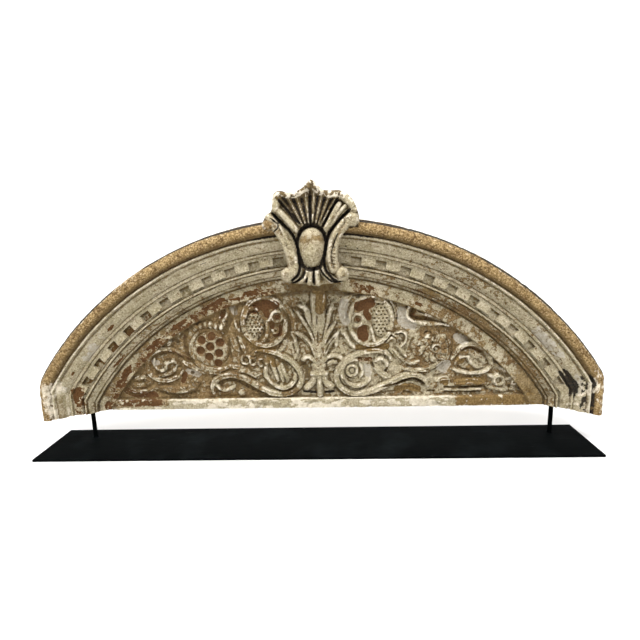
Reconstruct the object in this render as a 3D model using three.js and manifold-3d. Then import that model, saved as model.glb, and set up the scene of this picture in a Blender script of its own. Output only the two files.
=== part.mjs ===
// A carved stone transom, a low arched overdoor with a cartouche on its crown, held up by two steel
// rods on a flat steel plate. Millimetres, +Z up. The carved face looks along -Y.
// The origin is on the floor, in the middle of the whole piece. The stone itself is worked out round
// its own middle and moved along by STONE.x at the end.
import * as THREE from "three";
import { mergeVertices } from "three/addons/utils/BufferGeometryUtils.js";
import Module from "manifold-3d";

const wasm = await Module();
wasm.setup();

// Driving dimensions
const PLATE = { x: -7, width: 1500, depth: 185, thick: 6 };
const ROD = { x: 658, y: 44, radius: 6, socketDepth: 42, socketGap: 0.3, weld: 3, sides: 16 };
const STONE = { x: 4, bottom: 96, back: 77 };
const ARCH = { radius: 886, centreZ: -269, endAngle: THREE.MathUtils.degToRad(58.2), steps: 26 };
const FIELD = { axis: 9, radius: 697, ground: 40, face: 27, bandTop: 125 };
const CARTOUCHE = { x: 2, ground: -40, back: 48 };

// Turns a closed three.js geometry into a solid whose faces point out.
function solid(geometry) {
  const plain = geometry.clone();
  plain.deleteAttribute("normal");
  plain.deleteAttribute("uv");
  const merged = mergeVertices(plain, 1e-4);
  const vertProperties = merged.attributes.position.array;
  const triVerts = new Uint32Array(merged.index.array);
  const made = new wasm.Manifold(new wasm.Mesh({ numProp: 3, vertProperties, triVerts }));
  if (made.volume() > 0) return made;
  triVerts.reverse();
  return new wasm.Manifold(new wasm.Mesh({ numProp: 3, vertProperties, triVerts }));
}

function join(solids) {
  return wasm.Manifold.union(solids);
}

function meshOf(name, made, material) {
  const { vertProperties, triVerts } = made.getMesh();
  const geometry = new THREE.BufferGeometry()
    .setAttribute("position", new THREE.BufferAttribute(vertProperties, 3))
    .setIndex(new THREE.BufferAttribute(triVerts, 1));
  geometry.computeVertexNormals();
  const mesh = new THREE.Mesh(geometry, material);
  mesh.name = name;
  return mesh;
}

// Skins a row of closed rings of equal length, and caps its two ends with the triangles of the
// flat outline that every ring follows.
function loft(rings, outline) {
  const count = outline.length;
  const faces = [];
  for (let k = 0; k + 1 < rings.length; k++)
    for (let i = 0; i < count; i++) {
      const a = k * count + i;
      const b = k * count + ((i + 1) % count);
      faces.push(a, b, b + count, a, b + count, a + count);
    }
  const last = (rings.length - 1) * count;
  const anticlockwise = THREE.ShapeUtils.area(outline) > 0;
  for (const [a, b, c] of THREE.ShapeUtils.triangulateShape(outline, [])) {
    const [p, q, r] = anticlockwise ? [a, b, c] : [a, c, b];
    faces.push(p, r, q, last + p, last + q, last + r);
  }
  return solid(new THREE.BufferGeometry().setFromPoints(rings.flat()).setIndex(faces));
}

// Evenly spaced points of a smooth line through [x, z] pairs.
function smooth(pairs, steps) {
  const curve = new THREE.CatmullRomCurve3(pairs.map(([x, z]) => new THREE.Vector3(x, 0, z)));
  return curve.getSpacedPoints(steps).map((p) => [p.x, p.z]);
}

// A point at a distance and an angle, in degrees anticlockwise from +X, from another one.
function polar([x, z], distance, degrees) {
  const angle = THREE.MathUtils.degToRad(degrees);
  return [x + distance * Math.cos(angle), z + distance * Math.sin(angle)];
}

// Points of an oval coil, in degrees anticlockwise from +X. Its radii end at `shrink` of the first.
function coil({ x, z, rx, rz }, from, sweep, shrink, steps) {
  return Array.from({ length: steps + 1 }, (_, k) => {
    const angle = THREE.MathUtils.degToRad(from + (sweep * k) / steps);
    const scale = 1 + ((shrink - 1) * k) / steps;
    return [x + rx * scale * Math.cos(angle), z + rz * scale * Math.sin(angle)];
  });
}

// A carved ridge along [x, z] points: its foot is sunk in the ground, it stands `height` proud, and
// `ends` says what share of its half-width it keeps at its first and last point.
const SINK = 3;
function ridge(points, { half, height, ground = FIELD.ground, top = 0.5, ends = [1, 1] }) {
  const section = (wide, high) => [
    [-wide, ground + SINK],
    [-wide * top, ground - high],
    [wide * top, ground - high],
    [wide, ground + SINK],
  ];
  const rings = points.map(([x, z], k) => {
    const [x0, z0] = points[Math.max(0, k - 1)];
    const [x1, z1] = points[Math.min(points.length - 1, k + 1)];
    const along = new THREE.Vector2(x1 - x0, z1 - z0).normalize();
    const t = k / (points.length - 1);
    const share = Math.min(1, ends[0] + (ends[1] - ends[0]) * t + Math.sin(Math.PI * t));
    return section(half * share, height * (0.5 + 0.5 * share)).map(
      ([side, y]) => new THREE.Vector3(x - along.y * side, y, z + along.x * side),
    );
  });
  return loft(rings, section(half, height).map(([side, y]) => new THREE.Vector2(side, y)));
}

// A pointed leaf from its foot, bent sideways by `bend` at its tip.
function leaf(foot, degrees, length, half, height, { bend = 0, ground = FIELD.ground } = {}) {
  const points = [0, 0.35, 0.7, 1].map((t) =>
    polar(polar(foot, length * t, degrees), bend * t * t, degrees + 90),
  );
  return ridge(points, { half, height, ground, top: 0.3, ends: [0.5, 0.16] });
}

// A low dome, its middle at `ground`.
function dome([x, z], ground, [rx, ry, rz], around = 10, rows = 6) {
  const ball = new THREE.SphereGeometry(1, around, rows).scale(rx, ry, rz);
  return solid(ball.translate(x, ground, z));
}

// A slab between two depths, its outline given by [x, z] pairs.
function slab(pairs, front, back) {
  const shape = new THREE.Shape(pairs.map(([x, z]) => new THREE.Vector2(x, z)));
  const block = new THREE.ExtrudeGeometry(shape, { depth: back - front, bevelEnabled: false });
  return solid(block.rotateX(Math.PI / 2).translate(0, back, 0));
}

// A box between two opposite corners.
function box([x0, y0, z0], [x1, y1, z1]) {
  const made = new THREE.BoxGeometry(x1 - x0, y1 - y0, z1 - z0);
  return solid(made.translate((x0 + x1) / 2, (y0 + y1) / 2, (z0 + z1) / 2));
}

// Points of an arc in the moulding's section, as [radius, depth], angles in degrees.
function sectionArc([r, y], radius, from, to, steps) {
  return Array.from({ length: steps + 1 }, (_, k) =>
    polar([r, y], radius, from + ((to - from) * k) / steps),
  );
}

// The arch's section as [radius, depth]: the outer face, the big roll and its fillet, the cavetto
// and its two fillets, the sunk bed of the dentils, the ogee, and the flat band round the field.
const ROLL = { middle: [869, -29.5], radius: 16.5 };
const CAVETTO = { middle: [843.5, 4], radius: 32 };
const TEETH = { inner: 775, outer: 795, front: -3, bed: 7, gap: 2.05, gapsPerSide: 11 };
function archSection() {
  return [
    [FIELD.radius, STONE.back],
    [ARCH.radius, STONE.back],
    [ARCH.radius, -22],
    ...sectionArc(ROLL.middle, ROLL.radius, -15, -165, 5),
    [849, -34],
    [843, -34],
    [841, -27],
    ...sectionArc(CAVETTO.middle, CAVETTO.radius, -100, -156, 3),
    [811, -8],
    [803, -8],
    [802, TEETH.front],
    [TEETH.outer, TEETH.front],
    [TEETH.outer, TEETH.bed],
    [769, TEETH.bed],
    [768, 0],
    [763, 0],
    [760, 6],
    [751, 9],
    [745, 16],
    [738, 17],
    [736, 24],
    [710, FIELD.face],
    [FIELD.radius, FIELD.face],
  ];
}

// A point of the arch at a radius and an angle from the vertical.
function onArch(radius, angle) {
  return [radius * Math.sin(angle), ARCH.centreZ + radius * Math.cos(angle)];
}

// The arch runs round its centre to the end angle, then drops straight to the stone's underside.
function arch() {
  const section = archSection();
  const ringAt = (angle) =>
    section.map(([r, y]) => {
      const [x, z] = onArch(r, angle);
      return new THREE.Vector3(x, y, z);
    });
  const rings = Array.from({ length: ARCH.steps + 1 }, (_, k) =>
    ringAt(ARCH.endAngle * ((2 * k) / ARCH.steps - 1)),
  );
  const drop = (ring) => ring.map(({ x, y }) => new THREE.Vector3(x, y, STONE.bottom));
  rings.unshift(drop(rings[0]));
  rings.push(drop(rings[rings.length - 1]));
  return loft(rings, section.map(([r, y]) => new THREE.Vector2(r, y)));
}

// The dentil course: wide teeth on the sunk bed, with narrow gaps that start at these angles from
// the vertical, in degrees.
const FIRST_GAPS = [
  { at: -6.5, pitch: -4.77 },
  { at: 8.2, pitch: 4.77 },
];
function dentils() {
  const gaps = FIRST_GAPS.flatMap(({ at, pitch }) =>
    Array.from({ length: TEETH.gapsPerSide }, (_, k) => at + pitch * k),
  ).sort((a, b) => a - b);
  return gaps.slice(1).map((gap, k) => {
    const from = THREE.MathUtils.degToRad(gaps[k] + TEETH.gap / 2);
    const to = THREE.MathUtils.degToRad(gap - TEETH.gap / 2);
    const inner = [from, to].map((angle) => onArch(TEETH.inner, angle));
    const outer = [to, from].map((angle) => onArch(TEETH.outer + SINK, angle));
    return slab([...inner, ...outer], TEETH.front, TEETH.bed + SINK);
  });
}

// The sunk field behind the carving, and the plain band under it.
function field() {
  const radius = FIELD.radius + 6;
  const steps = ARCH.steps;
  const rim = Array.from({ length: steps + 1 }, (_, k) =>
    onArch(radius, ARCH.endAngle * (1 - (2 * k) / steps)),
  );
  const half = rim[0][0];
  return [
    slab([[-half, STONE.bottom], [half, STONE.bottom], ...rim], FIELD.ground, STONE.back),
    box([-half, FIELD.face, STONE.bottom], [half, STONE.back, FIELD.bandTop]),
  ];
}

// The coils of the scroll on each side, outwards from the middle.
const VOLUTES = [
  { x: -96, z: 194, rx: 53, rz: 57 },
  { x: 114, z: 192, rx: 55, rz: 56 },
];
const ROUNDELS = [
  [
    { x: -142, z: 343, rx: 60, rz: 65 },
    { x: -292, z: 270, rx: 51, rz: 52 },
    { x: -426, z: 220, rx: 47, rz: 46 },
  ],
  [
    { x: 145, z: 341, rx: 62, rz: 67 },
    { x: 325, z: 263, rx: 49, rz: 50 },
    { x: 434, z: 221, rx: 52, rz: 44 },
  ],
];

// One side of the scroll: the volute by the sheaf, the stem that leaves it, and the three roundels.
function scroll(which) {
  const side = which === 0 ? -1 : 1;
  const mirrored = (pairs) => pairs.map(([x, z]) => [FIELD.axis + side * x, z]);
  const wound = (oval, from, sweep, shrink, steps) =>
    coil(oval, side > 0 ? from : 180 - from, side * sweep, shrink, steps);
  const [first, second, third] = ROUNDELS[which];
  const parts = [
    ridge(wound(VOLUTES[which], 100, 620, 0.2, 21), { half: 8, height: 15 }),
    ridge(smooth(mirrored([[98, 250], [138, 258], [176, 250], [188, 224]]), 5), {
      half: 9, height: 11, ends: [0.6, 0.2],
    }),
    ridge(
      smooth(mirrored([[118, 136], [165, 154], [208, 176], [250, 188], [288, 178], [304, 148]]), 9),
      { half: 11, height: 14, ends: [0.6, 0.3] },
    ),
    ridge(smooth(mirrored([[300, 154], [274, 162], [248, 154], [226, 138]]), 4), {
      half: 8, height: 10, ends: [0.3, 0.8],
    }),
    ridge(wound(first, -80, 350, 0.98, 14), { half: 7, height: 13 }),
    ridge(wound(second, -170, 350, 0.98, 12), { half: 6, height: 12 }),
    ridge(wound(third, -60, 460, 0.4, 14), { half: 7, height: 12 }),
    ridge(smooth(mirrored([[336, 168], [380, 154], [440, 154], [486, 176]]), 5), {
      half: 10, height: 11, ends: [0.4, 0.4],
    }),
    ridge(smooth(mirrored([[212, 312], [234, 302], [240, 266], [228, 236]]), 5), {
      half: 9, height: 10, ends: [0.4, 0.4],
    }),
    ridge(smooth(mirrored([[222, 232], [256, 208], [306, 202], [352, 218], [376, 242]]), 6), {
      half: 8, height: 11, ends: [0.4, 0.4],
    }),
    ridge(smooth(mirrored([[410, 312], [356, 342], [296, 368], [262, 380], [250, 362]]), 7), {
      half: 10, height: 10, ends: [0.4, 0.4],
    }),
  ];
  for (const [x, z, lift] of [[496, 208, 55], [508, 182, 40], [512, 158, 18], [524, 142, 4]])
    parts.push(leaf([FIELD.axis + side * x, z], side > 0 ? lift : 180 - lift, 34, 8, 10));
  for (const lift of [20, 136, 260])
    parts.push(leaf(polar([third.x, third.z], 5, lift), lift, 26, 8, 12, { bend: 6 }));
  return parts;
}

// A bunch of berries hangs in each inner roundel, beside a ringed eye.
function bunches() {
  const ring = (x, z) => coil({ x, z, rx: 13, rz: 13 }, 40, 360, 1, 8);
  return [
    dome([-166, 339], FIELD.ground, [26, 14, 43]),
    dome([180, 341], FIELD.ground, [25, 14, 49]),
    ridge(ring(-104, 357), { half: 4, height: 11 }),
    ridge(ring(116, 346), { half: 4, height: 11 }),
    ridge(smooth([[-190, 369], [-171, 385], [-149, 371], [-133, 349], [-121, 345]], 7), {
      half: 5, height: 12,
    }),
    ridge(smooth([[125, 330], [149, 332], [155, 312], [158, 286]], 5), { half: 5, height: 11 }),
    ridge(smooth([[-130, 327], [-116, 309], [-100, 314], [-91, 336]], 5), { half: 6, height: 10 }),
    leaf([76, 400], 268, 90, 13, 9),
  ];
}

// The seed head: a flat boss with round cells sunk in it at the corners of a tilted honeycomb.
const SEEDS = { middle: [-294, 277], pitch: 30, tilt: 21, cell: 11.5, reach: 40 };
function seedHead() {
  const [, second] = ROUNDELS[0];
  let boss = dome([second.x, second.z], FIELD.ground, [48, 14, 50], 14, 6);
  for (let i = -2; i <= 2; i++)
    for (let j = -2; j <= 2; j++) {
      const row = polar(SEEDS.middle, SEEDS.pitch * i, SEEDS.tilt);
      const [x, z] = polar(row, SEEDS.pitch * j, SEEDS.tilt - 60);
      if (Math.hypot(x - second.x, z - second.z) > SEEDS.reach) continue;
      const cell = new THREE.CylinderGeometry(SEEDS.cell, SEEDS.cell, 40, 8);
      boss = boss.subtract(solid(cell.translate(x, FIELD.ground - 28, z)));
    }
  const crest = [0, 1, 2, 3].map((k) =>
    leaf([second.x - 24 + 15 * k, second.z + 42], 122 - 20 * k, 32, 8, 10),
  );
  return [boss, ...crest];
}

// The rosette: a wheel of bent leaves round an eye.
const ROSE = { petals: 9, foot: 13, length: 33, twist: 28 };
function rosette() {
  const [, { x, z }] = ROUNDELS[1];
  const petals = Array.from({ length: ROSE.petals }, (_, k) => {
    const degrees = (360 * k) / ROSE.petals;
    const foot = polar([x, z], ROSE.foot, degrees);
    return leaf(foot, degrees + ROSE.twist, ROSE.length, 10, 11, { bend: 4 });
  });
  return [...petals, dome([x + 3, z - 3], FIELD.ground, [12, 14, 12], 9, 6)];
}

// The sheaf of leaves, tied above its bell-shaped foot, up the middle of the field.
const SHEAF_X = 8;
function sheaf() {
  const at = (pairs) => pairs.map(([x, z]) => [SHEAF_X + x, z]);
  const blades = [
    [[-12, 246], [-30, 281], [-50, 304], [-74, 312]],
    [[-10, 286], [-30, 331], [-50, 364], [-70, 376]],
    [[-8, 316], [-26, 361], [-44, 388], [-60, 398]],
    [[12, 246], [26, 281], [40, 308], [56, 320]],
    [[9, 286], [22, 331], [36, 362], [50, 378]],
    [[8, 326], [18, 366], [30, 392], [42, 404]],
    [[58, 316], [74, 296], [86, 272], [104, 260]],
  ];
  return [
    ridge(at([[-23, 197], [23, 197]]), { half: 6, height: 19 }),
    ridge(at([[-12, 196], [-18, 174], [-38, 152]]), { half: 10, height: 14 }),
    ridge(at([[12, 196], [18, 174], [36, 152]]), { half: 10, height: 14 }),
    ridge(at([[0, 196], [2, 164], [4, 130]]), { half: 12, height: 16 }),
    ridge(at([[0, 200], [0, 258]]), { half: 22, height: 15, top: 0.6 }),
    ridge(at([[-14, 208], [-32, 232], [-48, 242]]), { half: 8, height: 14, ends: [0.9, 0.5] }),
    ridge(at([[14, 208], [30, 234], [50, 244]]), { half: 8, height: 13, ends: [0.9, 0.5] }),
    ridge(at([[0, 246], [-2, 326], [-3, 446]]), { half: 21, height: 13, ends: [0.6, 1] }),
    ...blades.map((pairs) =>
      ridge(smooth(at(pairs), 4), { half: 9, height: 13, top: 0.35, ends: [0.8, 0.2] }),
    ),
  ];
}

// The cartouche's outline: the scalloped top of the shell, then the waist and the curled feet.
const SHELL_TOP = [
  [121, 613], [112, 645], [96, 668], [78, 682], [54, 680], [34, 683], [17, 696], [4, 708],
  [-12, 692], [-29, 679], [-45, 678], [-64, 686], [-82, 682], [-92, 665], [-94, 637],
];
const WAIST = [
  [-109, 619], [-81, 586], [-65, 541], [-62, 495], [-66, 465], [-32, 455], [8, 450],
  [58, 455], [84, 463], [73, 499], [72, 539], [86, 584],
];
const BOSS = { middle: [0, 544], size: [31, 30, 48] };
const STRAPS = [
  { pairs: [[-96, 627], [-72, 598], [-55, 564], [-48, 525], [-48, 491]], half: 15 },
  { pairs: [[103, 632], [79, 600], [58, 568], [50, 524], [57, 488]], half: 15 },
  { pairs: [[-84, 647], [-62, 620], [-36, 590]], half: 9 },
  { pairs: [[84, 650], [61, 622], [38, 588]], half: 9 },
];
const FLUTES = { foot: [2, 555], count: 9, from: 145, sweep: -108, near: 46, reach: 112 };
const TONGUES = [-48, -32, -16, 9, 30, 54, 68];
const BALLS = { x: [-58, 75], z: 479, size: [19, 24, 19] };
const LUMPS = [
  { x: -105, z: 601, r: 15 },
  { x: 103, z: 611, r: 18 },
];
function cartouche() {
  const ground = CARTOUCHE.ground;
  const rim = SHELL_TOP.slice(1).map(([x, z]) => [
    x + 0.08 * (CARTOUCHE.x - x),
    z - 8,
  ]);
  const parts = [
    slab([...SHELL_TOP, ...WAIST], ground, CARTOUCHE.back),
    ridge(rim, { half: 8, height: 20, ground, top: 0.6 }),
    dome(BOSS.middle, ground, BOSS.size, 14, 8),
  ];
  for (let k = 0; k < FLUTES.count; k++) {
    const degrees = FLUTES.from + (FLUTES.sweep * k) / (FLUTES.count - 1);
    const ends = [FLUTES.near, FLUTES.reach].map((d) => polar(FLUTES.foot, d, degrees));
    parts.push(ridge(ends, { half: 6, height: 14, ground, top: 0.2, ends: [0.5, 1] }));
  }
  for (const { pairs, half } of STRAPS)
    parts.push(ridge(smooth(pairs, half > 10 ? 7 : 4), { half, height: 22, ground }));
  for (const x of TONGUES) {
    const foot = [CARTOUCHE.x + (x - CARTOUCHE.x) * 0.55, 497];
    const knee = [CARTOUCHE.x + (x - CARTOUCHE.x) * 0.62, 475];
    parts.push(ridge([foot, knee, [x, 459]], { half: 6.5, height: 14, ground, top: 0.3 }));
  }
  for (const x of BALLS.x) parts.push(dome([x, BALLS.z], ground, BALLS.size, 11, 6));
  for (const { x, z, r } of LUMPS)
    parts.push(dome([x, z], ground + SINK, [r, 18, r], 9, 6));
  return parts;
}

// A blind hole in the stone's underside for the top of each rod.
function sockets() {
  const radius = ROD.radius + ROD.socketGap;
  return [-1, 1].map((side) => {
    const hole = new THREE.CylinderGeometry(radius, radius, 2 * ROD.socketDepth, ROD.sides);
    return solid(hole.rotateX(Math.PI / 2).translate(side * ROD.x, ROD.y, STONE.bottom));
  });
}

// A rod stands on the plate with a small weld round its foot, and bears on the end of its socket.
function rod(side) {
  const top = STONE.bottom + ROD.socketDepth - ROD.socketGap;
  const profile = [
    [0, PLATE.thick],
    [ROD.radius + ROD.weld, PLATE.thick],
    [ROD.radius, PLATE.thick + ROD.weld],
    [ROD.radius, top - 1],
    [ROD.radius - 1, top],
    [0, top],
  ].map(([r, z]) => new THREE.Vector2(r, z));
  const turned = new THREE.LatheGeometry(profile, ROD.sides);
  return solid(turned.rotateX(Math.PI / 2).translate(STONE.x + side * ROD.x, ROD.y, 0));
}

const stoneLook = new THREE.MeshStandardMaterial({ color: 0xb8a888, roughness: 0.92, metalness: 0 });
const steelLook = new THREE.MeshStandardMaterial({ color: 0x15171a, roughness: 0.45, metalness: 0 });

const carving = [
  ...scroll(0),
  ...scroll(1),
  ...bunches(),
  ...seedHead(),
  ...rosette(),
  ...sheaf(),
  ...cartouche(),
];
const block = join([arch(), ...dentils(), ...field(), ...carving]);
const transom = block.subtract(join(sockets())).translate([STONE.x, 0, 0]);
const plate = box(
  [PLATE.x - PLATE.width / 2, -PLATE.depth / 2, 0],
  [PLATE.x + PLATE.width / 2, PLATE.depth / 2, PLATE.thick],
);

const group = new THREE.Group();
group.add(
  meshOf("transom", transom, stoneLook),
  meshOf("base_plate", plate, steelLook),
  meshOf("rod_left", rod(-1), steelLook),
  meshOf("rod_right", rod(1), steelLook),
);
export default group;
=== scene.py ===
import math

import bpy
import numpy as np
from mathutils import Matrix, Vector


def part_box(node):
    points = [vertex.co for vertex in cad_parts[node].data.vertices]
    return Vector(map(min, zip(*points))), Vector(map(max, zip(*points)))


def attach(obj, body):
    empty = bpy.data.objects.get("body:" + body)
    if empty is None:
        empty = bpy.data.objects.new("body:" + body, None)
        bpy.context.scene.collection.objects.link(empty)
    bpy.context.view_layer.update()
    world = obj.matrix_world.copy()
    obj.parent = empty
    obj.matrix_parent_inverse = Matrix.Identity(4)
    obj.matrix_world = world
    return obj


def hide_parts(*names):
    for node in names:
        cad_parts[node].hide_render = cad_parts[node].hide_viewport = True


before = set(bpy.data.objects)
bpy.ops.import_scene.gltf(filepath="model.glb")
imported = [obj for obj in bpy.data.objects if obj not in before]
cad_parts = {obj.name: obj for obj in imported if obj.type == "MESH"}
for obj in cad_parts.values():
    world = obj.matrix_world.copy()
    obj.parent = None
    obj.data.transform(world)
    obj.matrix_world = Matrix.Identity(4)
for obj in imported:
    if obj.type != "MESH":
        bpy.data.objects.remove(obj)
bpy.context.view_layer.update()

# The base plate: a sheared length of 6 mm mild steel sheet with eased edges. It was brushed with
# black paint that dried half matt, and has been rubbed and scratched since by what was moved on it.
MM = 0.001


def linear(hex_colour):
    """The linear colour, with alpha, of an sRGB hex value such as "#8a7a5c"."""
    parts = [int(hex_colour[k : k + 2], 16) / 255 for k in (1, 3, 5)]
    return [c / 12.92 if c <= 0.04045 else ((c + 0.055) / 1.055) ** 2.4 for c in parts] + [1]


def add(tree, kind, links=None, **settings):
    """Adds a node. links maps its sockets to values or to the sockets that feed them."""
    node = tree.nodes.new(kind)
    for name, value in settings.items():
        setattr(node, name, value)
    for socket, value in (links or {}).items():
        if isinstance(value, bpy.types.NodeSocket):
            tree.links.new(value, node.inputs[socket])
        else:
            node.inputs[socket].default_value = value
    return node


def noise(place, lumps, detail, rough):
    """Noise with so many lumps to a metre of place."""
    links = {"Vector": place, "Scale": lumps, "Detail": detail, "Roughness": rough}
    return add(place.id_data, "ShaderNodeTexNoise", links).outputs["Fac"]


def ranged(value, low, high, start=0.0, end=1.0):
    """The value spread from low..high to start..end."""
    links = {"Value": value, "From Min": low, "From Max": high, "To Min": start, "To Max": end}
    return add(value.id_data, "ShaderNodeMapRange", links).outputs[0]


def mixed(share, first, second):
    """The first colour with a share of the second mixed in."""
    links = {0: share, 6: first, 7: second}
    return add(share.id_data, "ShaderNodeMix", links, data_type="RGBA").outputs[2]


def new_material(name):
    """A material, its node tree and its shader."""
    material = bpy.data.materials.new(name)
    material.use_nodes = True
    return material, material.node_tree, material.node_tree.nodes["Principled BSDF"]


def black_painted_steel():
    """Brushed black paint: deep and half matt, greyer where it is rubbed, with fine scratches."""
    material, tree, shader = new_material("black_painted_steel")
    place = add(tree, "ShaderNodeTexCoord").outputs["Object"]
    # Brush marks run along the plate and are some 6 mm apart.
    along = add(tree, "ShaderNodeMapping", {"Vector": place, "Scale": (1.5, 14, 14)}).outputs[0]
    streak = noise(along, 12, 6, 0.7)
    rubbed = ranged(noise(place, 7, 5, 0.6), 0.5, 0.75)
    paint = mixed(streak, linear("#010202"), linear("#080b0c"))
    paint = mixed(rubbed, paint, linear("#101415"))
    # Scratches are hair thin in life; they are drawn 1 mm wide so that they show at all.
    slant = add(
        tree,
        "ShaderNodeMapping",
        {"Vector": place, "Rotation": (0, 0, 0.35), "Scale": (6, 160, 1)},
    ).outputs[0]
    scratch = ranged(noise(slant, 2.2, 3, 0.5), 0.72, 0.76, 0, 0.6)
    paint = mixed(scratch, paint, linear("#4a4b48"))
    tree.links.new(paint, shader.inputs["Base Color"])
    tree.links.new(ranged(streak, 0.3, 0.7, 0.55, 0.75), shader.inputs["Roughness"])
    shader.inputs["Specular IOR Level"].default_value = 0.01
    bump = add(tree, "ShaderNodeBump", {"Height": streak, "Strength": 0.25, "Distance": 0.4 * MM})
    tree.links.new(bump.outputs[0], shader.inputs["Normal"])
    return material


steel_paint = black_painted_steel()
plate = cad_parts["base_plate"]
plate.data.materials.clear()
plate.data.materials.append(steel_paint)
eased = plate.modifiers.new("eased_edges", "BEVEL")
eased.width = 0.9 * MM
eased.segments = 3
PLATE_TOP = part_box("base_plate")[1].z / MM

# The two rods: 12 mm round mild steel bar, sawn square, stood on the plate and welded round the
# foot, then painted with it. Their tops go up into blind holes in the stone.
ROD_RADIUS = 6
WELD, WELD_BEADS, SAWN_EDGE = 3, 11, 1
ROD_SIDES = 40


def linked(name, data):
    """A new object in the scene, holding the data."""
    thing = bpy.data.objects.new(name, data)
    bpy.context.collection.objects.link(thing)
    return thing


def turned(rings, sides, bumps):
    """Vertices and faces of a closed turned bar from (radius, z) rings in millimetres."""
    points, faces = [], []
    for radius, z in rings:
        for k in range(sides):
            a = 2 * math.pi * k / sides
            r = radius + bumps(radius, z, a)
            points.append((r * math.cos(a), r * math.sin(a), z))
    for j in range(len(rings) - 1):
        for k in range(sides):
            a, b = j * sides + k, j * sides + (k + 1) % sides
            faces.append((a, b, b + sides, a + sides))
    faces.append(tuple(reversed(range(sides))))
    faces.append(tuple((len(rings) - 1) * sides + k for k in range(sides)))
    return points, faces


def weld_bumps(radius, z, a):
    """The beads of the weld, which show only on the fillet."""
    if radius <= ROD_RADIUS:
        return 0
    return 0.35 * math.cos(WELD_BEADS * a + z)


for name in ("rod_left", "rod_right"):
    low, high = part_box(name)
    middle = (low + high) / 2
    top = high.z / MM
    fillet = [
        (ROD_RADIUS + WELD * (1 - math.sin(t)), PLATE_TOP + WELD * (1 - math.cos(t)))
        for t in np.linspace(0.08, math.pi / 2, 6)
    ]
    bar = [(ROD_RADIUS, z) for z in np.linspace(PLATE_TOP + WELD + 1, top - SAWN_EDGE, 8)]
    rings = [(ROD_RADIUS + WELD, PLATE_TOP), *fillet, *bar, (ROD_RADIUS - SAWN_EDGE, top)]
    points, faces = turned(rings, ROD_SIDES, weld_bumps)
    mesh = bpy.data.meshes.new(name + "_bar")
    mesh.from_pydata(
        [(middle.x + x * MM, middle.y + y * MM, z * MM) for x, y, z in points], [], faces
    )
    mesh.shade_smooth()
    mesh.set_sharp_from_angle(angle=math.radians(50))
    rod = linked(name + "_bar", mesh)
    rod.data.materials.append(steel_paint)
    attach(rod, "root")
    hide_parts(name)

# The stone's rim: a low arch of mouldings cut in one block of soft, fine-grained stone. It was
# worked with templates and chisels, and limewashed many times; wash and stone have since worn.
STONE_X = 4
# In millimetres: radii are struck from CENTRE_Z, below the floor, and depths run from front to back.
BOTTOM, BACK = 96, 77
CENTRE_Z, OUTER, INNER = -269, 886, 697
END = math.radians(58.2)
FACE, GROUND = 27, 40
TOOTH_FRONT, TOOTH_BED = -3, 7
TOOTH_OUTER, TOOTH_INNER = 795, 775
GAP = 2.05
GAP_STARTS = [(-6.5, -4.77), (8.2, 4.77)]
GAPS_PER_SIDE = 11
# What may lie on a spot of stone, from 0 to 1: limewash, dirt with painted shade, bare brown
# stone, soot with painted shade, the roll's sandy stone, ochre, grey paint and chalky thick
# wash with painted highlight.
LOOKS = ("wash", "dirt_and_shade", "bare", "black", "sand", "ochre", "grey", "chalk_and_highlight")
BACK_LOOKS = {"wash": 0.25, "dirt_and_shade": 0.2}


def mottle(x, z, size, seed):
    """Smooth noise from 0 to 1 over the face, its lumps about size millimetres across."""
    lattice = np.random.default_rng(seed).random((256, 256))
    i, j = np.floor(x / size).astype(int), np.floor(z / size).astype(int)
    s, t = x / size - i, z / size - j
    s, t = s * s * (3 - 2 * s), t * t * (3 - 2 * t)
    i, j, beyond, above = i % 256, j % 256, (i + 1) % 256, (j + 1) % 256
    low = lattice[i, j] * (1 - s) + lattice[beyond, j] * s
    high = lattice[i, above] * (1 - s) + lattice[beyond, above] * s
    return low * (1 - t) + high * t


def rough(x, z, size, seed):
    """The same with finer lumps on the large ones, bent and turned so that no grid shows."""
    x, z = x + 0.3 * size * np.sin(1.3 * z / size), z + 0.3 * size * np.sin(1.7 * x / size)
    total = 0
    for octave, share in enumerate((0.5, 0.3, 0.2)):
        x, z = 0.8 * x - 0.6 * z, 0.6 * x + 0.8 * z
        total = total + share * mottle(x, z, size / 2.2**octave, seed + octave)
    return total


def ease(value, start, end):
    """0 before start, 1 after end and a smooth rise between them."""
    t = np.clip((value - start) / (end - start), 0, 1)
    return t * t * (3 - 2 * t)


def between(value, start, full, fade, end):
    """0 outside start..end, 1 from full to fade and smooth in between."""
    return ease(value, start, full) * ease(-value, -end, -fade)


def lay(looks, name, amount):
    """Marks a look wherever amount is more than is marked there already."""
    looks[name] = np.maximum(looks[name], amount)


def filled(corners, step):
    """The corners of a broken line with points between them no further apart than step."""
    out = []
    for (r0, y0), (r1, y1) in zip(corners, corners[1:]):
        count = max(1, math.ceil(math.hypot(r1 - r0, y1 - y0) / step))
        out += [(r0 + (r1 - r0) * k / count, y0 + (y1 - y0) * k / count) for k in range(count)]
    return out + [corners[-1]]


def arc_points(r, y, radius, start, end, count):
    """Points of an arc in the section, angles in degrees."""
    return [
        (r + radius * math.cos(math.radians(a)), y + radius * math.sin(math.radians(a)))
        for a in np.linspace(start, end, count)
    ]


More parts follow.
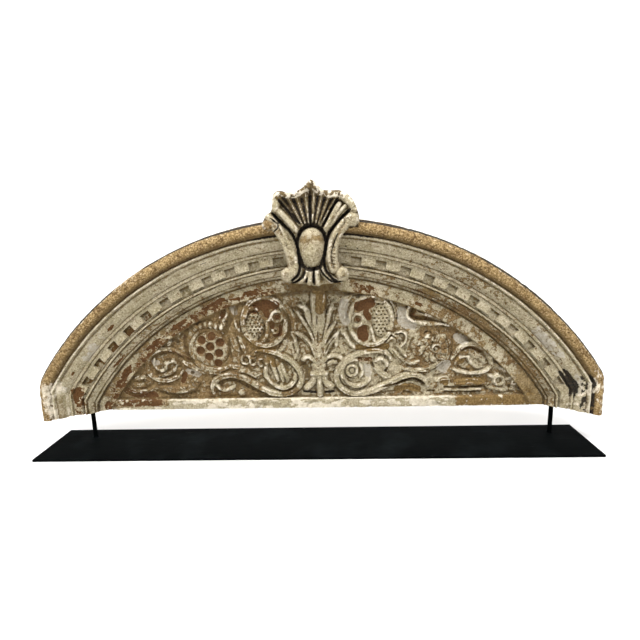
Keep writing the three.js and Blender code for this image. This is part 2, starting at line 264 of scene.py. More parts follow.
back_of_section = filled([(INNER, FACE), (INNER, BACK), (OUTER, BACK), (OUTER + 2, 30)], 24)
front_of_section = filled(
    [
        # The side of the arch and the big roll.
        (OUTER + 2, 30),
        (OUTER + 3.4, -10),
        (OUTER + 2.4, -17),
        (OUTER - 1.2, -22),
        *arc_points(869, -29.5, 16.5, 14, -165, 16),
        # A fillet, the cavetto and another fillet.
        (850.6, -29),
        (849.4, -34.5),
        (843.4, -34.5),
        (841.6, -27),
        *arc_points(843.5, 4, 32, -100, -156, 9),
        (812, -8),
        (810.6, -10),
        (803.6, -10),
        # The dentil course, cut here as the gap between two teeth.
        (802.4, TOOTH_FRONT),
        (TOOTH_OUTER, TOOTH_FRONT),
        (TOOTH_OUTER - 0.4, TOOTH_BED),
        (TOOTH_INNER + 0.4, TOOTH_BED),
        (TOOTH_INNER, TOOTH_BED),
        (769, TOOTH_BED),
        # A fillet, the ogee, and the flat band next to the field.
        (768, -1),
        (763, -1),
        (761.4, 6),
        (759, 4.5),
        (754, 7),
        (750, 12),
        (745.4, 14),
        (744, 18),
        (738, 16.4),
        (736.4, 25.6),
        (734, 24),
        (712, FACE),
        (INNER + 1.5, FACE),
    ],
    3.6,
)
section = np.array(back_of_section + front_of_section)
section_r, section_y = section[:, 0], section[:, 1]

# Columns of points run up the left leg, over the arch and down the right leg. Each side of a gap
# between teeth has two of them close together, so that the teeth are cut square.
gap_middles = sorted(at + pitch * k for at, pitch in GAP_STARTS for k in range(GAPS_PER_SIDE))
gap_edges = [m + side * GAP / 2 for m in gap_middles for side in (-1, 1)]
ARC_END, ARC_STEP = 58.3, 0.41
even = np.arange(-ARC_END, ARC_END + 0.01, ARC_STEP)
even = even[[min(abs(a - e) for e in gap_edges) > 0.14 for a in even]]
both_sides = [e + d for e in gap_edges for d in (-0.04, 0.04)]
angles = np.radians(sorted([-ARC_END, ARC_END, *even[1:-1], *both_sides]))
LEG_STEPS = 13
leg_share = np.linspace(0, 1, LEG_STEPS, endpoint=False)

columns = [(-END, share) for share in leg_share]
columns += [(a, 1.0) for a in angles]
columns += [(END, share) for share in leg_share[::-1]]
column_angle = np.array([c[0] for c in columns])[:, None]
column_share = np.array([c[1] for c in columns])[:, None]
in_gap = np.zeros(len(columns), bool)
for m in gap_middles:
    in_gap |= (abs(np.degrees(column_angle[:, 0]) - m) < GAP / 2) & (column_share[:, 0] == 1)

r = np.broadcast_to(section_r, (len(columns), len(section_r))).copy()
y = np.broadcast_to(section_y, r.shape).copy()
on_tooth = (r < TOOTH_OUTER - 0.1) & (r > TOOTH_INNER + 0.1) & (y > TOOTH_FRONT - 1) & (y < 20)
y = np.where(on_tooth & ~in_gap[:, None], TOOTH_FRONT, y)


def sweep(r):
    """Where radius r of each column lies on the face: round the arc, then down the straight legs."""
    x = r * np.sin(column_angle)
    top = CENTRE_Z + r * np.cos(column_angle)
    return x, BOTTOM + (top - BOTTOM) * column_share


# Lumps, grain and chips wear the front, and its lower edges are torn and bitten on the left.
x, z = sweep(r)
front = y < 32
degrees = np.degrees(column_angle) + 0 * r
along = np.radians(degrees) * 800 + np.sign(degrees) * 150 * (1 - column_share)
lumps = rough(x, z + 0.6 * y, 34, 11) - 0.5
grain = rough(x + y, z + 0.5 * y, 7, 21) - 0.5
streaks = rough(along / 7, r + 0.7 * y, 4.5, 25)
chip = ease(rough(x, z + y, 19, 31), 0.6, 0.78)
on_roll = ease(r, 848, 854) * (y < 0)
torn = ease(750 - r, -10, 4) * (r > 735) * ease(streaks, 0.5, 0.75) * ease(degrees, -60, -30)
bitten = 4 * ease(734 - r, 0, 4) * ease(rough(x, z, 17, 35), 0.45, 0.6) * ease(-degrees, -12, 10)
y = y + front * (1.8 * lumps + 2 * grain + 2.8 * chip * (1 - 0.5 * on_roll) + 3 * torn + bitten)
r = r - front * (1.2 * grain + 1.8 * chip * on_roll + 1.2 * lumps * on_roll)
# The lower corners of the arch's outer edge are rubbed round.
knocked = ease(abs(x), 728, 753) * between(z, 165, 190, 192, 215) * (r > 840)
r = r - 5 * knocked * (r - 840) / 46
x, z = sweep(r)
foot = BOTTOM + 3 * rough(x, y, 15, 41) - 5 * ease(x, 640, 740) - 4 * ease(-x, 560, 640)
z = np.where(column_share < 0.02, foot, z)


def about(middle, full, end):
    """1 within full degrees of a place on the arch, 0 further off than end degrees."""
    return ease(-abs(degrees - middle), -end, -full)


def line_of(radius, half):
    """How near each spot lies to a line that runs round the arch, from 0 to 1."""
    return np.exp(-(((r - radius) / half) ** 2)) * (y < 35)


def patch(at, radius, wide, high, seed=5):
    """A ragged patch of the arch, in degrees from the crown and millimetres from its centre."""
    out = ((degrees - at) / wide) ** 2 + ((r - radius) / high) ** 2
    return ease(0.8 - out + 2.4 * (rough(x, z, 11, seed) - 0.5), 0, 0.3) * (column_share == 1)


# Painted shade, with some dirt, darkens the inner corners of the mouldings.
broad = rough(x, z, 60, 71)
rim = {name: 0 * r for name in LOOKS}
for radius, half, strength in (
    (850, 3.4, 1.0), (839.5, 3.6, 0.85), (811.5, 2.4, 0.75), (802.6, 2.2, 0.7), (769.6, 3, 0.85),
    (761.4, 2.4, 0.85), (744.4, 2.6, 0.85), (735.5, 3.6, 1.05), (INNER, 4, 0.85),
):
    lay(rim, "dirt_and_shade", strength * line_of(radius, half) * (0.7 + 0.6 * streaks))
# Painted shade, with some dirt, makes the underside of the roll dark brown, darkest next to the
# cartouche.
under = ease(867 - r, 0, 14) * (r > 849.5) * (y < -20)
lay(rim, "dirt_and_shade", under * (0.8 + 0.3 * (broad - 0.5) + 0.2 * about(0, 9, 16)))
# Painted shade, with some dirt, lies in the gaps between teeth, most under their tops, and under the
# teeth.
bed = on_tooth & in_gap[:, None]
lay(rim, "dirt_and_shade", bed * (0.35 + 0.15 * ease(-degrees, 20, 35) + 0.5 * ease(r, 786, 793)))
lay(rim, "dirt_and_shade", 0.5 * (r < TOOTH_INNER) * (r > 768) * (0.5 + streaks))
# The ogee is streaked with dirt, and the edge next to the field is broken and brown.
on_ogee, on_band = (r < 763) * (r > 737), r < 736
on_dentils, on_cavetto = (r < 800) * (r > 770), (r < 838) * (r > 803)
lay(rim, "dirt_and_shade", on_ogee * ease(streaks, 0.5, 0.72) * 0.6 * (y < 35))
lay(rim, "dirt_and_shade", line_of(829, 7) * ease(broad, 0.45, 0.6) * 0.5)
rubble = ease(degrees, 44, 54) * ease(rough(x, z, 11, 67), 0.48, 0.6) * (r < 800) * (r > 735)
lay(rim, "dirt_and_shade", 0.55 * rubble)
# The roll has lost its wash. Its top edge is drawn black, but for one clean place.
sand = ease(r, 849.6, 852) * (y < 60)
CLEAN_PLACE = -32.5
outline_r = 881.4 + 1.4 * ease(abs(degrees), 12, 20) - 3.4 * ease(abs(degrees), 20, 40)
black = ease(r - outline_r, 0, 1.2) * ease(26 * (rough(x, z + y, 19, 31) - 0.5) - y, 4, 20)
black = black * (0.75 + 0.25 * about(-8, 26, 52)) * (0.8 + 0.5 * rough(x, z, 26, 33))
rim["black"] = black * (1 - 0.8 * about(CLEAN_PLACE, 1.5, 5))
cracks = ease(rough(x, z, 8, 55), 0.6, 0.72)
lay(rim, "black", patch(7.5, 822, 2.4, 9, 51) * cracks)
# Painted shadow, black, under the roll beside the cartouche.
lay(rim, "black", 0.9 * line_of(849, 3.4) * about(0, 9, 13))
lay(rim, "black", patch(-20, 829, 0.8, 2) * 0.9)
# Water has left black runs down both sides of the right leg.
on_right = ease(degrees, 53.4, 54.4)
run = ease(rough(x, z / 2, 8, 57), 0.08, 0.3) * (0.3 + 0.7 * ease(z, 112, 165))
run_half = 2.6 + 6 * np.exp(-(((z - 166) / 36) ** 2))
run_at = 812 + 6 * (rough(x, z, 16, 65) - 0.5)
lay(rim, "black", 1.6 * on_right * line_of(run_at, run_half) * run)
lay(rim, "black", 1.3 * on_right * line_of(801, 4) * run)
run = ease(rough(x, z / 2, 6, 59), 0.34, 0.5)
lay(rim, "black", 1.2 * ease(degrees, 55.4, 57) * line_of(833, 8) * run)
lay(rim, "black", 1.2 * ease(degrees, 55.6, 57) * line_of(852, 4.5) * run)
# The wash is thinner on the ogee and on the right of the cavetto, and patchy on the flat band.
wash = 0.7 + 0.4 * (broad - 0.5) + 0.14 * (streaks - 0.5)
wash = wash - (0.1 + 0.18 * ease(degrees, 15, 32)) * on_ogee
wash = wash + 0.04 * ease(degrees, 0, 20) * on_dentils
wash = wash - 0.14 * between(degrees, 14, 24, 40, 46) * on_cavetto
band_wash = 0.56 + 0.9 * (rough(x, z, 30, 77) - 0.5) - 0.08 * ease(-degrees, -12, 0)
band_wash = band_wash + 0.6 * (rough(x, z, 10, 79) - 0.5)
wash = np.where(on_band, band_wash, wash)
rim["wash"] = wash * (1 - sand)
# Edges that catch the light get painted highlight, as pale as the thickest wash.
for radius, half, strength in (
    (846, 2.2, 0.9), (807, 2.6, 0.35), (797, 1.6, 0.3), (765.5, 2.4, 0.45), (741, 2.4, 0.5)
):
    lay(rim, "chalk_and_highlight", strength * line_of(radius, half) * ease(streaks, 0.25, 0.6))
# Painted highlight on the top of the roll.
lit_top = ease(r + 10 * (rough(x, z, 16, 97) - 0.5), 874, 880) * ease(884.5 - r, 0, 2)
lay(rim, "chalk_and_highlight", sand * lit_top * (0.33 + 0.2 * ease(abs(degrees), 25, 40)))
lay(rim, "chalk_and_highlight", 0.4 * about(CLEAN_PLACE, 2, 5) * sand * (r > 868))
rim["chalk_and_highlight"] = rim["chalk_and_highlight"] * (1 - 0.8 * rim["dirt_and_shade"])
# Painted highlight along the fillet under the roll, away from the crown.
lay(rim, "chalk_and_highlight", 0.8 * line_of(846, 1.8) * ease(streaks, 0.2, 0.45) * ease(abs(degrees), 14, 20))
flecks = ease(rough(x, z, 9, 63), 0.5, 0.62) * ease(degrees, 54, 57) * (r > 790)
lay(rim, "chalk_and_highlight", 0.7 * flecks)
left_foot = between(-x, 676, 700, 736, 744) * ease(225 - z, 0, 40) * (degrees < 0)
lay(rim, "chalk_and_highlight", 0.72 * left_foot * ease(rough(x, z, 26, 99), 0.2, 0.45))
left_foot = between(-x, 590, 640, 628, 640) * ease(160 - z, 0, 40)
lay(rim, "chalk_and_highlight", 0.5 * left_foot * ease(rough(x, z, 14, 98), 0.4, 0.5))
# The flat band is bare in its lower half, darkened by painted shadow under the crown, and bare spots
# lie elsewhere.
bare = 0.7 * ease(724 - r + 26 * (rough(x, z, 34, 81) - 0.5), 0, 6) * (r > INNER) * (y < 35)
bare = bare * ease(rough(x, z, 15, 85), 0.34, 0.5)
rim["bare"] = bare * (1 - 0.75 * ease(degrees, 8, 20)) * (1 - 0.8 * about(0, 6, 11))
lay(rim, "dirt_and_shade", 0.75 * about(0, 4, 9) * ease(728 - r, 0, 12) * (y < 35))
for at, radius, wide, high in (
    (-41.5, 822, 1.2, 5), (-53.4, 824, 1, 4), (-22, 722, 4.4, 6), (-31, 716, 3.4, 7),
    (-38, 716, 3, 6), (12, 720, 1, 7), (23, 711, 1.2, 6), (-47, 750, 2.6, 5), (22, 745, 3, 3),
):
    lay(rim, "bare", 0.9 * patch(at, radius, wide, high, 83))
# The left leg and the dentils above it have lost their wash, down to reddish brown stone.
lay(rim, "bare", 0.8 * bed * ease(-degrees, 24, 40) * ease(rough(x, z, 12, 87), 0.3, 0.5))
leg_bare = between(-x, 640, 646, 678, 684) * ease(182 - z, 0, 12)
leg_bare *= 0.6 + 0.4 * ease(z, 118, 142)
lay(rim, "bare", leg_bare * ease(rough(x, z, 12, 95), 0.24, 0.5))
leg_streak = between(-x, 694, 698, 712, 716) * ease(172 - z, 0, 20)
lay(rim, "dirt_and_shade", 0.6 * leg_streak * ease(rough(x, z, 12, 93), 0.25, 0.5))
rim["chalk_and_highlight"] = rim["chalk_and_highlight"] * (1 - np.maximum(leg_bare, 0.8 * leg_streak))
# Ochre shows on the right of the flat band, and grey paint low in the cavetto on both sides.
lay(rim, "ochre", 0.5 * ease(rough(x, z, 44, 101), 0.52, 0.66) * on_band * ease(degrees, 0, 20))
lay(rim, "ochre", 0.8 * ease(degrees, 46, 53) * (r < 734))
lay(rim, "ochre", 0.7 * patch(24, 752, 3, 9, 61))
grey = 0.66 * ease(rough(x, z, 50, 103), 0.42, 0.6) * between(r, 804, 812, 830, 838)
rim["grey"] = grey * ease(abs(degrees), 30, 48)
rear = ease(y, 32, 50)
for name in LOOKS:
    rim[name] = rim[name] * (1 - rear) + BACK_LOOKS.get(name, 0) * rear
rim["sand"] = sand

rim_points = np.stack([x, y, z], -1).reshape(-1, 3)
rim_looks = np.stack([rim[name] for name in LOOKS], -1).reshape(-1, len(LOOKS))
count = len(section)
i, k = np.meshgrid(np.arange(count), np.arange(len(columns) - 1))
here, beside = k * count + i, k * count + (i + 1) % count
quads = np.stack([here, beside, beside + count, here + count], -1).reshape(-1, 4)
rim_faces = quads.tolist()
rim_faces.append(list(range(count))[::-1])
rim_faces.append([(len(columns) - 1) * count + i for i in range(count)])

# The field inside the rim is the same block, sunk about 13 mm and carved with scrolls, roundels of
# fruit and flowers and a sheaf of leaves. Wash lies on the carving and brown stone in the hollows.
CELL = 2.55


def curve(points, spacing=1.6):
    """A smooth line through the points, as closely spaced points."""
    p = np.array(points, float)
    p = np.vstack([2 * p[0] - p[1], p, 2 * p[-1] - p[-2]])
    out = []
    for a, b, c, d in zip(p, p[1:], p[2:], p[3:]):
        count = max(2, int(np.hypot(*(c - b)) / spacing))
        t = np.linspace(0, 1, count, endpoint=False)[:, None]
        bend = (2 * a - 5 * b + 4 * c - d) * t**2 + (3 * b - a - 3 * c + d) * t**3
        out.append(0.5 * (2 * b + (c - a) * t + bend))
    return np.vstack([*out, p[-2:-1]])


def oval(x, z, rx, rz, start=0, turn=360):
    """Points round an oval or part of it, angles in degrees anticlockwise from the right."""
    a = np.radians(start + turn * np.linspace(0, 1, max(6, int(turn / 24))))
    return np.stack([x + rx * np.cos(a), z + rz * np.sin(a)], -1)


class Carving:
    """A face of stone as depths proud of its ground, and how each spot of it looks."""

    def __init__(self, x, z):
        self.x, self.z = x, z
        self.relief = np.zeros_like(x)
        self.looks = {name: np.zeros_like(x) for name in LOOKS}

    def near(self, points, reach):
        """The spots within reach of a line, their distance from it and how far along they are."""
        path = curve(points)
        low, high = path.min(0) - reach, path.max(0) + reach
        inside = (self.x > low[0]) & (self.x < high[0]) & (self.z > low[1]) & (self.z < high[1])
        away = np.hypot(
            self.x[inside][:, None] - path[:, 0], self.z[inside][:, None] - path[:, 1]
        )
        best = away.argmin(1)
        return inside, away[np.arange(len(best)), best], best / (len(path) - 1)

    def ridge(self, points, half, height, ends=(1, 1), vein=0, power=3):
        """Leaves a rounded ridge standing along a line."""
        inside, away, t = self.near(points, half)
        share = np.minimum(1, ends[0] + (ends[1] - ends[0]) * t + np.sin(np.pi * t))
        share = np.maximum(share, 0.08)
        across = np.clip(away / (half * share), 0, 1)
        lift = height * (0.5 + 0.5 * share) * (1 - across**power)
        lift = lift - vein * np.exp(-((across / 0.38) ** 2)) * (across < 1)
        self.relief[inside] = np.maximum(self.relief[inside], lift)

    def cut(self, points, half, depth, dark=0.8, look="dirt_and_shade"):
        """Cuts a groove along a line and paints shade in it, with some dirt."""
        inside, away, t = self.near(points, half + 1)
        share = np.clip(0.45 + 2 * np.sin(np.pi * t), 0, 1)
        across = np.clip(away / (half * share), 0, 1)
        self.relief[inside] -= depth * (1 - across**2)
        self.paint(points, half * 1.1, dark, look)

    def paint(self, points, half, strength, look):
        """Marks a look along a line, with a soft ragged edge."""
        inside, away, _ = self.near(points, half * 1.3)
        ragged = half * (0.85 + 0.3 * mottle(self.x[inside], self.z[inside], 7, 7))
        mark = strength * (1 - ease(away, 0.75 * ragged, 1.05 * ragged))
        self.looks[look][inside] = np.maximum(self.looks[look][inside], mark)

    def dome(self, x, z, rx, rz, height, power=2.0):
        """Leaves a dome, or with a high power a flat boss."""
        out = np.hypot((self.x - x) / rx, (self.z - z) / rz)
        lift = height * np.sqrt(np.clip(1 - out**power, 0, 1))
        self.relief = np.maximum(self.relief, lift)

    def pit(self, x, z, radius, depth, dark=0.8, look="dirt_and_shade"):
        """Sinks a round hole and darkens it, by default with painted shade and dirt."""
        hole = 1 - ease(np.hypot(self.x - x, self.z - z) / radius, 0.75, 1.1)
        self.relief = self.relief - depth * hole
        lay(self.looks, look, dark * hole)

    def flower(self, x, z, rx, rz, size, height, turn=20):
        """Leaves five small domes in a ring."""
        for petal in range(5):
            a = math.radians(72 * petal + turn)
            self.dome(x + rx * math.cos(a), z + rz * math.sin(a), size, size, height)

    def berries(self, x, z, rx, rz, left, low, pitch, rise, rows):
        """Drills the hollows of berries over an oval, in staggered rows from left and low."""
        for row in range(rows):
            for column in range(5):
                berry_x, berry_z = left + pitch * (column + 0.5 * (row % 2)), low + rise * row
                if math.hypot((berry_x - x) / rx, (berry_z - z) / rz) < 1:
                    self.pit(berry_x, berry_z, 3.2, 5, 1)


def blurred(values, reach):
    """The values smoothed over reach cells each way."""
    kernel = np.exp(-((np.arange(-3 * reach, 3 * reach + 1) / reach) ** 2))
    kernel /= kernel.sum()
    padded = np.pad(values, 3 * reach, mode="edge")
    rows = np.apply_along_axis(lambda v: np.convolve(v, kernel, "valid"), 0, padded)
    return np.apply_along_axis(lambda v: np.convolve(v, kernel, "valid"), 1, rows)


half_width = INNER * math.sin(END)
across_cells = 2 * round(half_width / CELL)
field_x = np.linspace(-half_width, half_width, across_cells + 1)
band_rows = [96, 100, 105, 110, 114, 118, 121, 123.4]
field_z = np.array(band_rows + list(np.arange(125.4, CENTRE_Z + INNER + CELL, CELL)))
fx, fz = np.meshgrid(field_x, field_z)
field = Carving(fx, fz)

# The sheaf: its plume and bent blades, then buds and side leaves over a tied neck and bell foot.
field.ridge([(8, 258), (9, 325), (9, 395), (11, 450)], 22, 11, (0.7, 1), power=4)
for blade in (
    [(8, 254), (9, 335), (10, 447)],
    [(4, 258), (-2, 336), (-4, 436)],
    [(12, 258), (21, 335), (27, 435)],
    [(0, 281), (-11, 326), (-24, 368), (-30, 394)],
    [(18, 281), (29, 325), (42, 370), (50, 395)],
):
    field.ridge(blade, 6.5, 14, (0.7, 0.6), vein=1.5)
for blade in (
    [(-2, 244), (-10, 268), (-28, 294), (-47, 309), (-65, 314)],
    [(-1, 281), (-11, 310), (-29, 342), (-44, 366), (-58, 377)],
    [(-7, 346), (-22, 378), (-38, 386), (-52, 392)],
    [(24, 248), (32, 270), (48, 291), (63, 313), (71, 318)],
    [(22, 280), (31, 303), (45, 325), (57, 341)],
    [(25, 315), (31, 345), (44, 373), (60, 379)],
):
    field.ridge(blade, 7, 14, (0.8, 0.25), vein=2)
field.ridge([(-65, 314), (-59, 296), (-54, 276), (-50, 254)], 6, 12, (0.5, 0.6))
field.ridge([(71, 318), (83, 300), (94, 280), (110, 265)], 7, 13, (0.5, 0.6))
field.ridge([(53, 313), (58, 291), (56, 271)], 6, 9, (0.5, 0.6))
for line in (
    [(-5, 242), (-18, 276), (-35, 298)],
    [(-1, 292), (-11, 320), (-31, 354), (-42, 368)],
    [(-46, 380), (-34, 376), (-26, 367)],
    [(-11, 368), (-8, 346)],
    [(6, 360), (5, 337)],
    [(7, 315), (6, 284)],
    [(18, 293), (27, 333), (32, 360)],
    [(37, 299), (57, 313)],
    [(28, 258), (36, 277), (53, 299)],
    [(53, 347), (60, 375)],
    [(-66, 302), (-58, 286)],
    [(75, 307), (82, 291)],
    [(40, 263), (50, 269)],
):
    field.cut(line, 2.2, 5, 0.85)
field.ridge([(7, 202), (8, 242)], 20, 12, power=4)
for bud_x, bud_z in ((-6, 218), (7, 212), (20, 218), (0, 230), (15, 232), (9, 246), (25, 236)):
    field.dome(bud_x, bud_z, 7.5, 8.5, 16)
field.ridge([(-6, 232), (-18, 242), (-30, 240), (-39, 230)], 7, 14, (0.8, 0.6), vein=1)
field.ridge([(30, 240), (48, 245), (66, 241), (75, 231)], 7, 13, (0.8, 0.6), vein=1)
field.ridge([(33, 222), (45, 228), (57, 224)], 6, 12, (0.6, 0.6))
field.ridge([(-13, 194), (27, 194)], 7, 18, power=4)
field.ridge([(-4, 188), (-12, 168), (-28, 153)], 10, 15, (0.8, 1), vein=1)
field.ridge([(21, 188), (27, 168), (42, 154)], 10, 15, (0.8, 1), vein=1)
field.ridge([(8, 188), (8, 161), (9, 132)], 9, 16, (0.8, 1))
field.cut([(-36, 141), (-4, 138)], 4.4, 5, 1, "black")
field.cut([(24, 137), (46, 140)], 4, 5, 1, "black")
field.cut([(50, 152), (68, 138), (90, 130)], 5, 3, 0.9)
field.cut([(-39, 226), (-27, 210), (-23, 186)], 8, 3, 0.9)

# The left half, outwards from the sheaf: volute, fruit roundel, seed head and outer scroll. Broad
# stems have a deeper vein down the middle than narrow ones.
BROAD_STEM, BROAD_VEIN, NARROW_VEIN = 6.8, 4.5, 2
for points, half, height, ends in (
    ([(-187, 245), (-161, 260), (-129, 260), (-95, 248), (-67, 228), (-49, 202), (-42, 178),
      (-52, 154), (-74, 139), (-102, 134), (-132, 143)], 8.5, 14, (0.5, 1)),
    ([(-141, 223), (-143, 195), (-133, 170), (-111, 155), (-87, 153), (-68, 166), (-59, 187),
      (-66, 208)], 7, 13, (0.6, 0.5)),
    ([(-127, 237), (-119, 209), (-108, 175)], 6, 12, (0.5, 0.6)),
    ([(-111, 235), (-103, 207), (-94, 173)], 6, 12, (0.5, 0.6)),
    ([(-97, 224), (-90, 199), (-81, 175)], 6, 12, (0.5, 0.6)),
    ([(-110, 135), (-140, 144), (-170, 163), (-200, 181), (-231, 193), (-259, 192), (-283, 181),
      (-296, 161), (-294, 140)], 10.5, 15, (0.9, 0.4)),
    ([(-286, 170), (-276, 155), (-259, 150), (-241, 155), (-231, 163)], 6.5, 12, (0.5, 0.5)),
    ([(-282, 137), (-254, 143), (-231, 135)], 7, 8, (0.4, 0.4)),
    ([(-156, 197), (-176, 193), (-196, 205), (-216, 215), (-242, 219)], 8, 11, (0.5, 0.5)),
    ([(-168, 183), (-186, 197), (-206, 203), (-230, 205)], 5, 12, (0.5, 0.5)),
    (oval(-139, 345, 60, 68), 8, 14, (1, 1)),
    ([(-191, 357), (-186, 373), (-172, 384), (-158, 380), (-148, 366), (-142, 353), (-133, 348),
      (-124, 351), (-118, 365), (-105, 375), (-93, 369)], 4.6, 13, (0.8, 0.8)),
    (oval(-104, 358, 14, 14), 4, 12, (1, 1)),
    ([(-137, 347), (-131, 327), (-135, 305), (-148, 287)], 5.5, 11, (0.8, 0.6)),
    ([(-186, 323), (-180, 305), (-164, 291)], 8, 11, (0.5, 0.6)),
    ([(-84, 398), (-69, 372), (-59, 342), (-59, 314)], 8, 9, (0.5, 0.6)),
    ([(-80, 296), (-92, 272), (-104, 258)], 7, 8, (0.5, 0.5)),
    ([(-221, 362), (-217, 340), (-210, 319)], 6, 11, (0.5, 0.5)),
    ([(-231, 310), (-227, 287), (-216, 263)], 9, 11, (0.5, 0.4)),
    ([(-210, 299), (-204, 283), (-197, 257)], 7.5, 12, (0.5, 0.4)),
    (oval(-197, 237, 12, 13, 0, 300), 4, 11, (0.8, 0.5)),
    (oval(-176, 232, 9, 10, 60, 300), 3.6, 11, (0.8, 0.5)),
    (oval(-154, 229, 9, 10, 60, 260), 3.6, 10, (0.8, 0.5)),
    ([(-325, 318), (-342, 295), (-348, 266), (-340, 238), (-322, 221), (-294, 212), (-263, 211),
      (-242, 221)], 7.5, 14, (0.4, 0.6)),
    ([(-386, 287), (-384, 311), (-365, 333), (-336, 349), (-300, 365), (-269, 378)], 9, 10,
     (0.4, 0.6)),
    ([(-289, 372), (-269, 386), (-250, 394), (-239, 382), (-242, 364), (-255, 350), (-263, 360)],
     5, 12, (0.5, 0.5)),
    ([(-257, 348), (-251, 330), (-257, 314)], 7, 11, (0.6, 0.5)),
    ([(-383, 244), (-354, 224), (-328, 210), (-297, 202), (-267, 199)], 8.5, 12, (0.5, 0.5)),
    ([(-364, 230), (-380, 253), (-405, 269), (-433, 271), (-458, 259), (-475, 237), (-477, 211),
      (-463, 190), (-441, 181), (-414, 182), (-391, 194), (-377, 212)], 7.5, 13, (0.7, 0.7)),
    ([(-456, 245), (-456, 223), (-442, 209), (-427, 214), (-419, 231), (-402, 236), (-389, 224)],
     5.5, 12, (0.6, 0.5)),
    ([(-447, 194), (-424, 198), (-405, 208), (-395, 222)], 6, 11, (0.5, 0.5)),
    ([(-447, 162), (-419, 153), (-389, 151), (-358, 158), (-334, 174)], 13, 12, (0.3, 0.4)),
    ([(-481, 213), (-496, 225), (-516, 221), (-533, 205)], 7, 9, (0.4, 0.4)),
    ([(-482, 189), (-502, 191), (-521, 183)], 7, 10, (0.4, 0.3)),
    ([(-478, 170), (-502, 167), (-529, 169)], 7, 10, (0.4, 0.3)),
    ([(-472, 150), (-502, 148), (-537, 151)], 7, 10, (0.4, 0.3)),
    ([(-400, 299), (-413, 285), (-439, 283)], 6, 9, (0.4, 0.4)),
):
    field.ridge(points, half, height, ends, BROAD_VEIN if half > BROAD_STEM else NARROW_VEIN)
field.dome(-166, 335, 25, 38, 13, 3)
field.dome(-104, 358, 9, 9, 6, 4)
field.dome(-213, 140, 10, 10, 14)
field.dome(-424, 227, 9, 9, 11)
field.flower(-109, 318, 7, 7, 5.5, 11)
field.flower(-345, 174, 8, 7, 5.5, 13)
for crest in range(6):
    field.dome(-333 + 14.5 * crest, 331 + 8 * math.sin(math.pi * crest / 5), 8, 11, 12)
